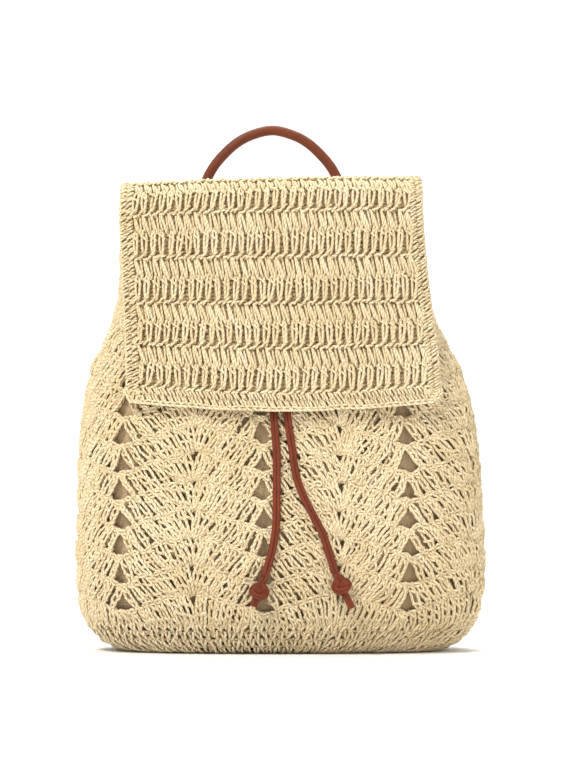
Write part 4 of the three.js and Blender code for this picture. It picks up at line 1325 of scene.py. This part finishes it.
class BAG_OT_straps(bpy.types.Operator):
    """Cut the back patch and the two shoulder straps, and sew them on"""

    bl_idname = "bag.straps"
    bl_label = "Straps and Patch"

    def execute(self, context):
        settings = context.scene.bag_leather
        skein = Skein()
        lean = lean_at(PATCH_FOOT)
        seat(skein, lean, PATCH_FOOT, PATCH_WIDTH, PATCH_HEIGHT, PATCH_THICKNESS, SEAM_GAP, 24, 40)
        seam = seam_round(lean, PATCH_FOOT, PATCH_WIDTH, PATCH_HEIGHT, SEAM_GAP + PATCH_THICKNESS, 3.2)
        add_stitches(skein, *seam, settings.stitch * 0.8)
        dress(skein, "sewn_patch", "leather", LEATHER, "back_patch")
        for side, sign in (("left", -1), ("right", 1)):
            self.strap(side, sign, settings)
        return {"FINISHED"}

    def strap(self, side, sign, settings):
        """One strap: down from the patch, out behind the bag and back to its lower corner"""
        head = PATCH_FOOT + PATCH_HEIGHT * 0.86
        upper = lean_at(PATCH_FOOT) + sign * STRAP_SPACING / 2
        lower = sign * STRAP_FOOT_SPACING / 2
        on_patch = SEAM_GAP * 2 + PATCH_THICKNESS + STRAP_THICKNESS / 2
        on_sack = 2 * SEAM_GAP + STRAP_THICKNESS / 2
        course = []
        for down, across, out in STRAP_COURSE:
            x, z = mix(upper, lower, across), mix(head, STRAP_FOOT_HEIGHT, down)
            gap = mix(on_patch, on_sack, smooth(0.2, 0.9, across))
            low = min(z, mix(head, STRAP_FOOT_HEIGHT, 0.9))
            wall = mix(back_at(upper, max(z, PATCH_FOOT)), back_at(lower, low), smooth(0, 1, across))
            course.append((x, float(wall + gap + out * STRAP_BOW), z))
        path = spline(course, STRAP_STEPS)
        way = unit(np.gradient(path, axis=0))
        slope = float(back_at(lower - 1, STRAP_FOOT_HEIGHT) - back_at(lower + 1, STRAP_FOOT_HEIGHT)) / 2
        share = np.linspace(0, 1, len(path))
        level = np.stack([0 * share + 1, -slope * smooth(0.75, 0.97, share), 0 * share], axis=1)
        across = unit(level - way * np.sum(level * way, axis=1, keepdims=True))
        out = np.cross(across, way)
        skein = Skein()
        skein.sweep(path, out, rounded_strip(STRAP_WIDTH, STRAP_THICKNESS, 0.0, corner=0.3))
        for edge in (-1, 1):
            line = path + across * edge * (STRAP_WIDTH / 2 - 2.4)
            for face in (-1, 1):
                add_stitches(skein, line[3:-3] + out[3:-3] * face * (STRAP_THICKNESS / 2 + 0.05),
                             out[3:-3] * face, settings.stitch)
        dress(skein, f"shoulder_strap_{side}", "leather", LEATHER, f"strap_{side}")


# The lining

class BAG_OT_lining(bpy.types.Operator):
    """Hang the cloth lining inside the sack"""

    bl_idname = "bag.lining"
    bl_label = "Lining"

    def execute(self, context):
        z = np.concatenate([[4.2, 6, 9, 13, 18], np.linspace(26, LINING_TOP, 44)])
        u = np.arange(220) / 220
        uu, zz = np.meshgrid(u, z)
        inset = STRAW_WALL + 4 * SEAM_GAP + RIB_DEPTH + 1.3 * gather_depth(zz)
        soft = 0.8 * np.sin(2 * np.pi * 23 * uu + 3 * np.sin(zz / 40)) * smooth(30, 260, zz)
        soft = soft + 0.6 * np.sin(zz / 9 + 5 * np.sin(2 * np.pi * 5 * uu))
        at, out = PLAIN.at(uu, zz / RIM_HEIGHT)
        outer = at - out * (inset + 0.7 + soft * 0.5)[..., None]
        outer[..., 2] = np.where(zz < 5, 4.2, outer[..., 2])
        inner = outer - out * LINING_WALL
        inner[..., 2] = np.where(zz < 5, 5.4, inner[..., 2])
        around, levels = len(u), len(z)
        points = np.vstack([outer.reshape(-1, 3), inner.reshape(-1, 3)])
        index = np.arange(levels * around).reshape(levels, around)
        nxt = np.roll(index, -1, axis=1)
        quads = np.stack([index[:-1], nxt[:-1], nxt[1:], index[1:]], axis=-1).reshape(-1, 4)
        under = levels * around
        rim = np.stack([index[-1], nxt[-1], nxt[-1] + under, index[-1] + under], axis=-1)
        lowest = [points[index[0]].mean(axis=0), points[index[0] + under].mean(axis=0)]
        points = np.vstack([points, lowest])
        floor = fan_faces(len(points) - 2, nxt[0], index[0])
        inside = fan_faces(len(points) - 1, index[0] + under, nxt[0] + under)
        faces = np.vstack([quads, quads[:, ::-1] + under, rim, floor, inside])
        skein = Skein()
        skein.add(points, faces, np.zeros((0, 2)))
        piece = dress(skein, "lining_bag", "lining_cloth", ["lining_cotton"], "lining")
        return {"FINISHED"}


class BAG_PT_panel(bpy.types.Panel):
    """The backpack's pieces in the sidebar"""

    bl_label = "Straw Backpack"
    bl_idname = "BAG_PT_panel"
    bl_space_type = "VIEW_3D"
    bl_region_type = "UI"
    bl_category = "Straw Backpack"

    def draw(self, context):
        for name, group in SETTINGS.items():
            box = self.layout.box()
            for field in group.__annotations__:
                box.prop(getattr(context.scene, name), field)
        for piece in PIECES:
            self.layout.operator(piece.bl_idname)


PIECES = (BAG_OT_stage, BAG_OT_laces, BAG_OT_drawstring, BAG_OT_sack, BAG_OT_base, BAG_OT_flap,
          BAG_OT_handle, BAG_OT_straps, BAG_OT_lining)
CLASSES = (*SETTINGS.values(), *PIECES, BAG_PT_panel)


def register():
    for cls in CLASSES:
        bpy.utils.register_class(cls)
    for name, group in SETTINGS.items():
        setattr(bpy.types.Scene, name, PointerProperty(type=group))


def unregister():
    for name in SETTINGS:
        delattr(bpy.types.Scene, name)
    for cls in reversed(CLASSES):
        bpy.utils.unregister_class(cls)


def main():
    register()
    for piece in PIECES:
        group, name = piece.bl_idname.split(".")
        if getattr(getattr(bpy.ops, group), name)() != {"FINISHED"}:
            raise RuntimeError(f"{piece.bl_label} wasn't made")
    plain = lambda box: [[float(v) for v in corner] for corner in box]
    {"cad": plain(CAD_BOX), "visual": plain(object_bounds())}


if __name__ == "__main__":
    main()
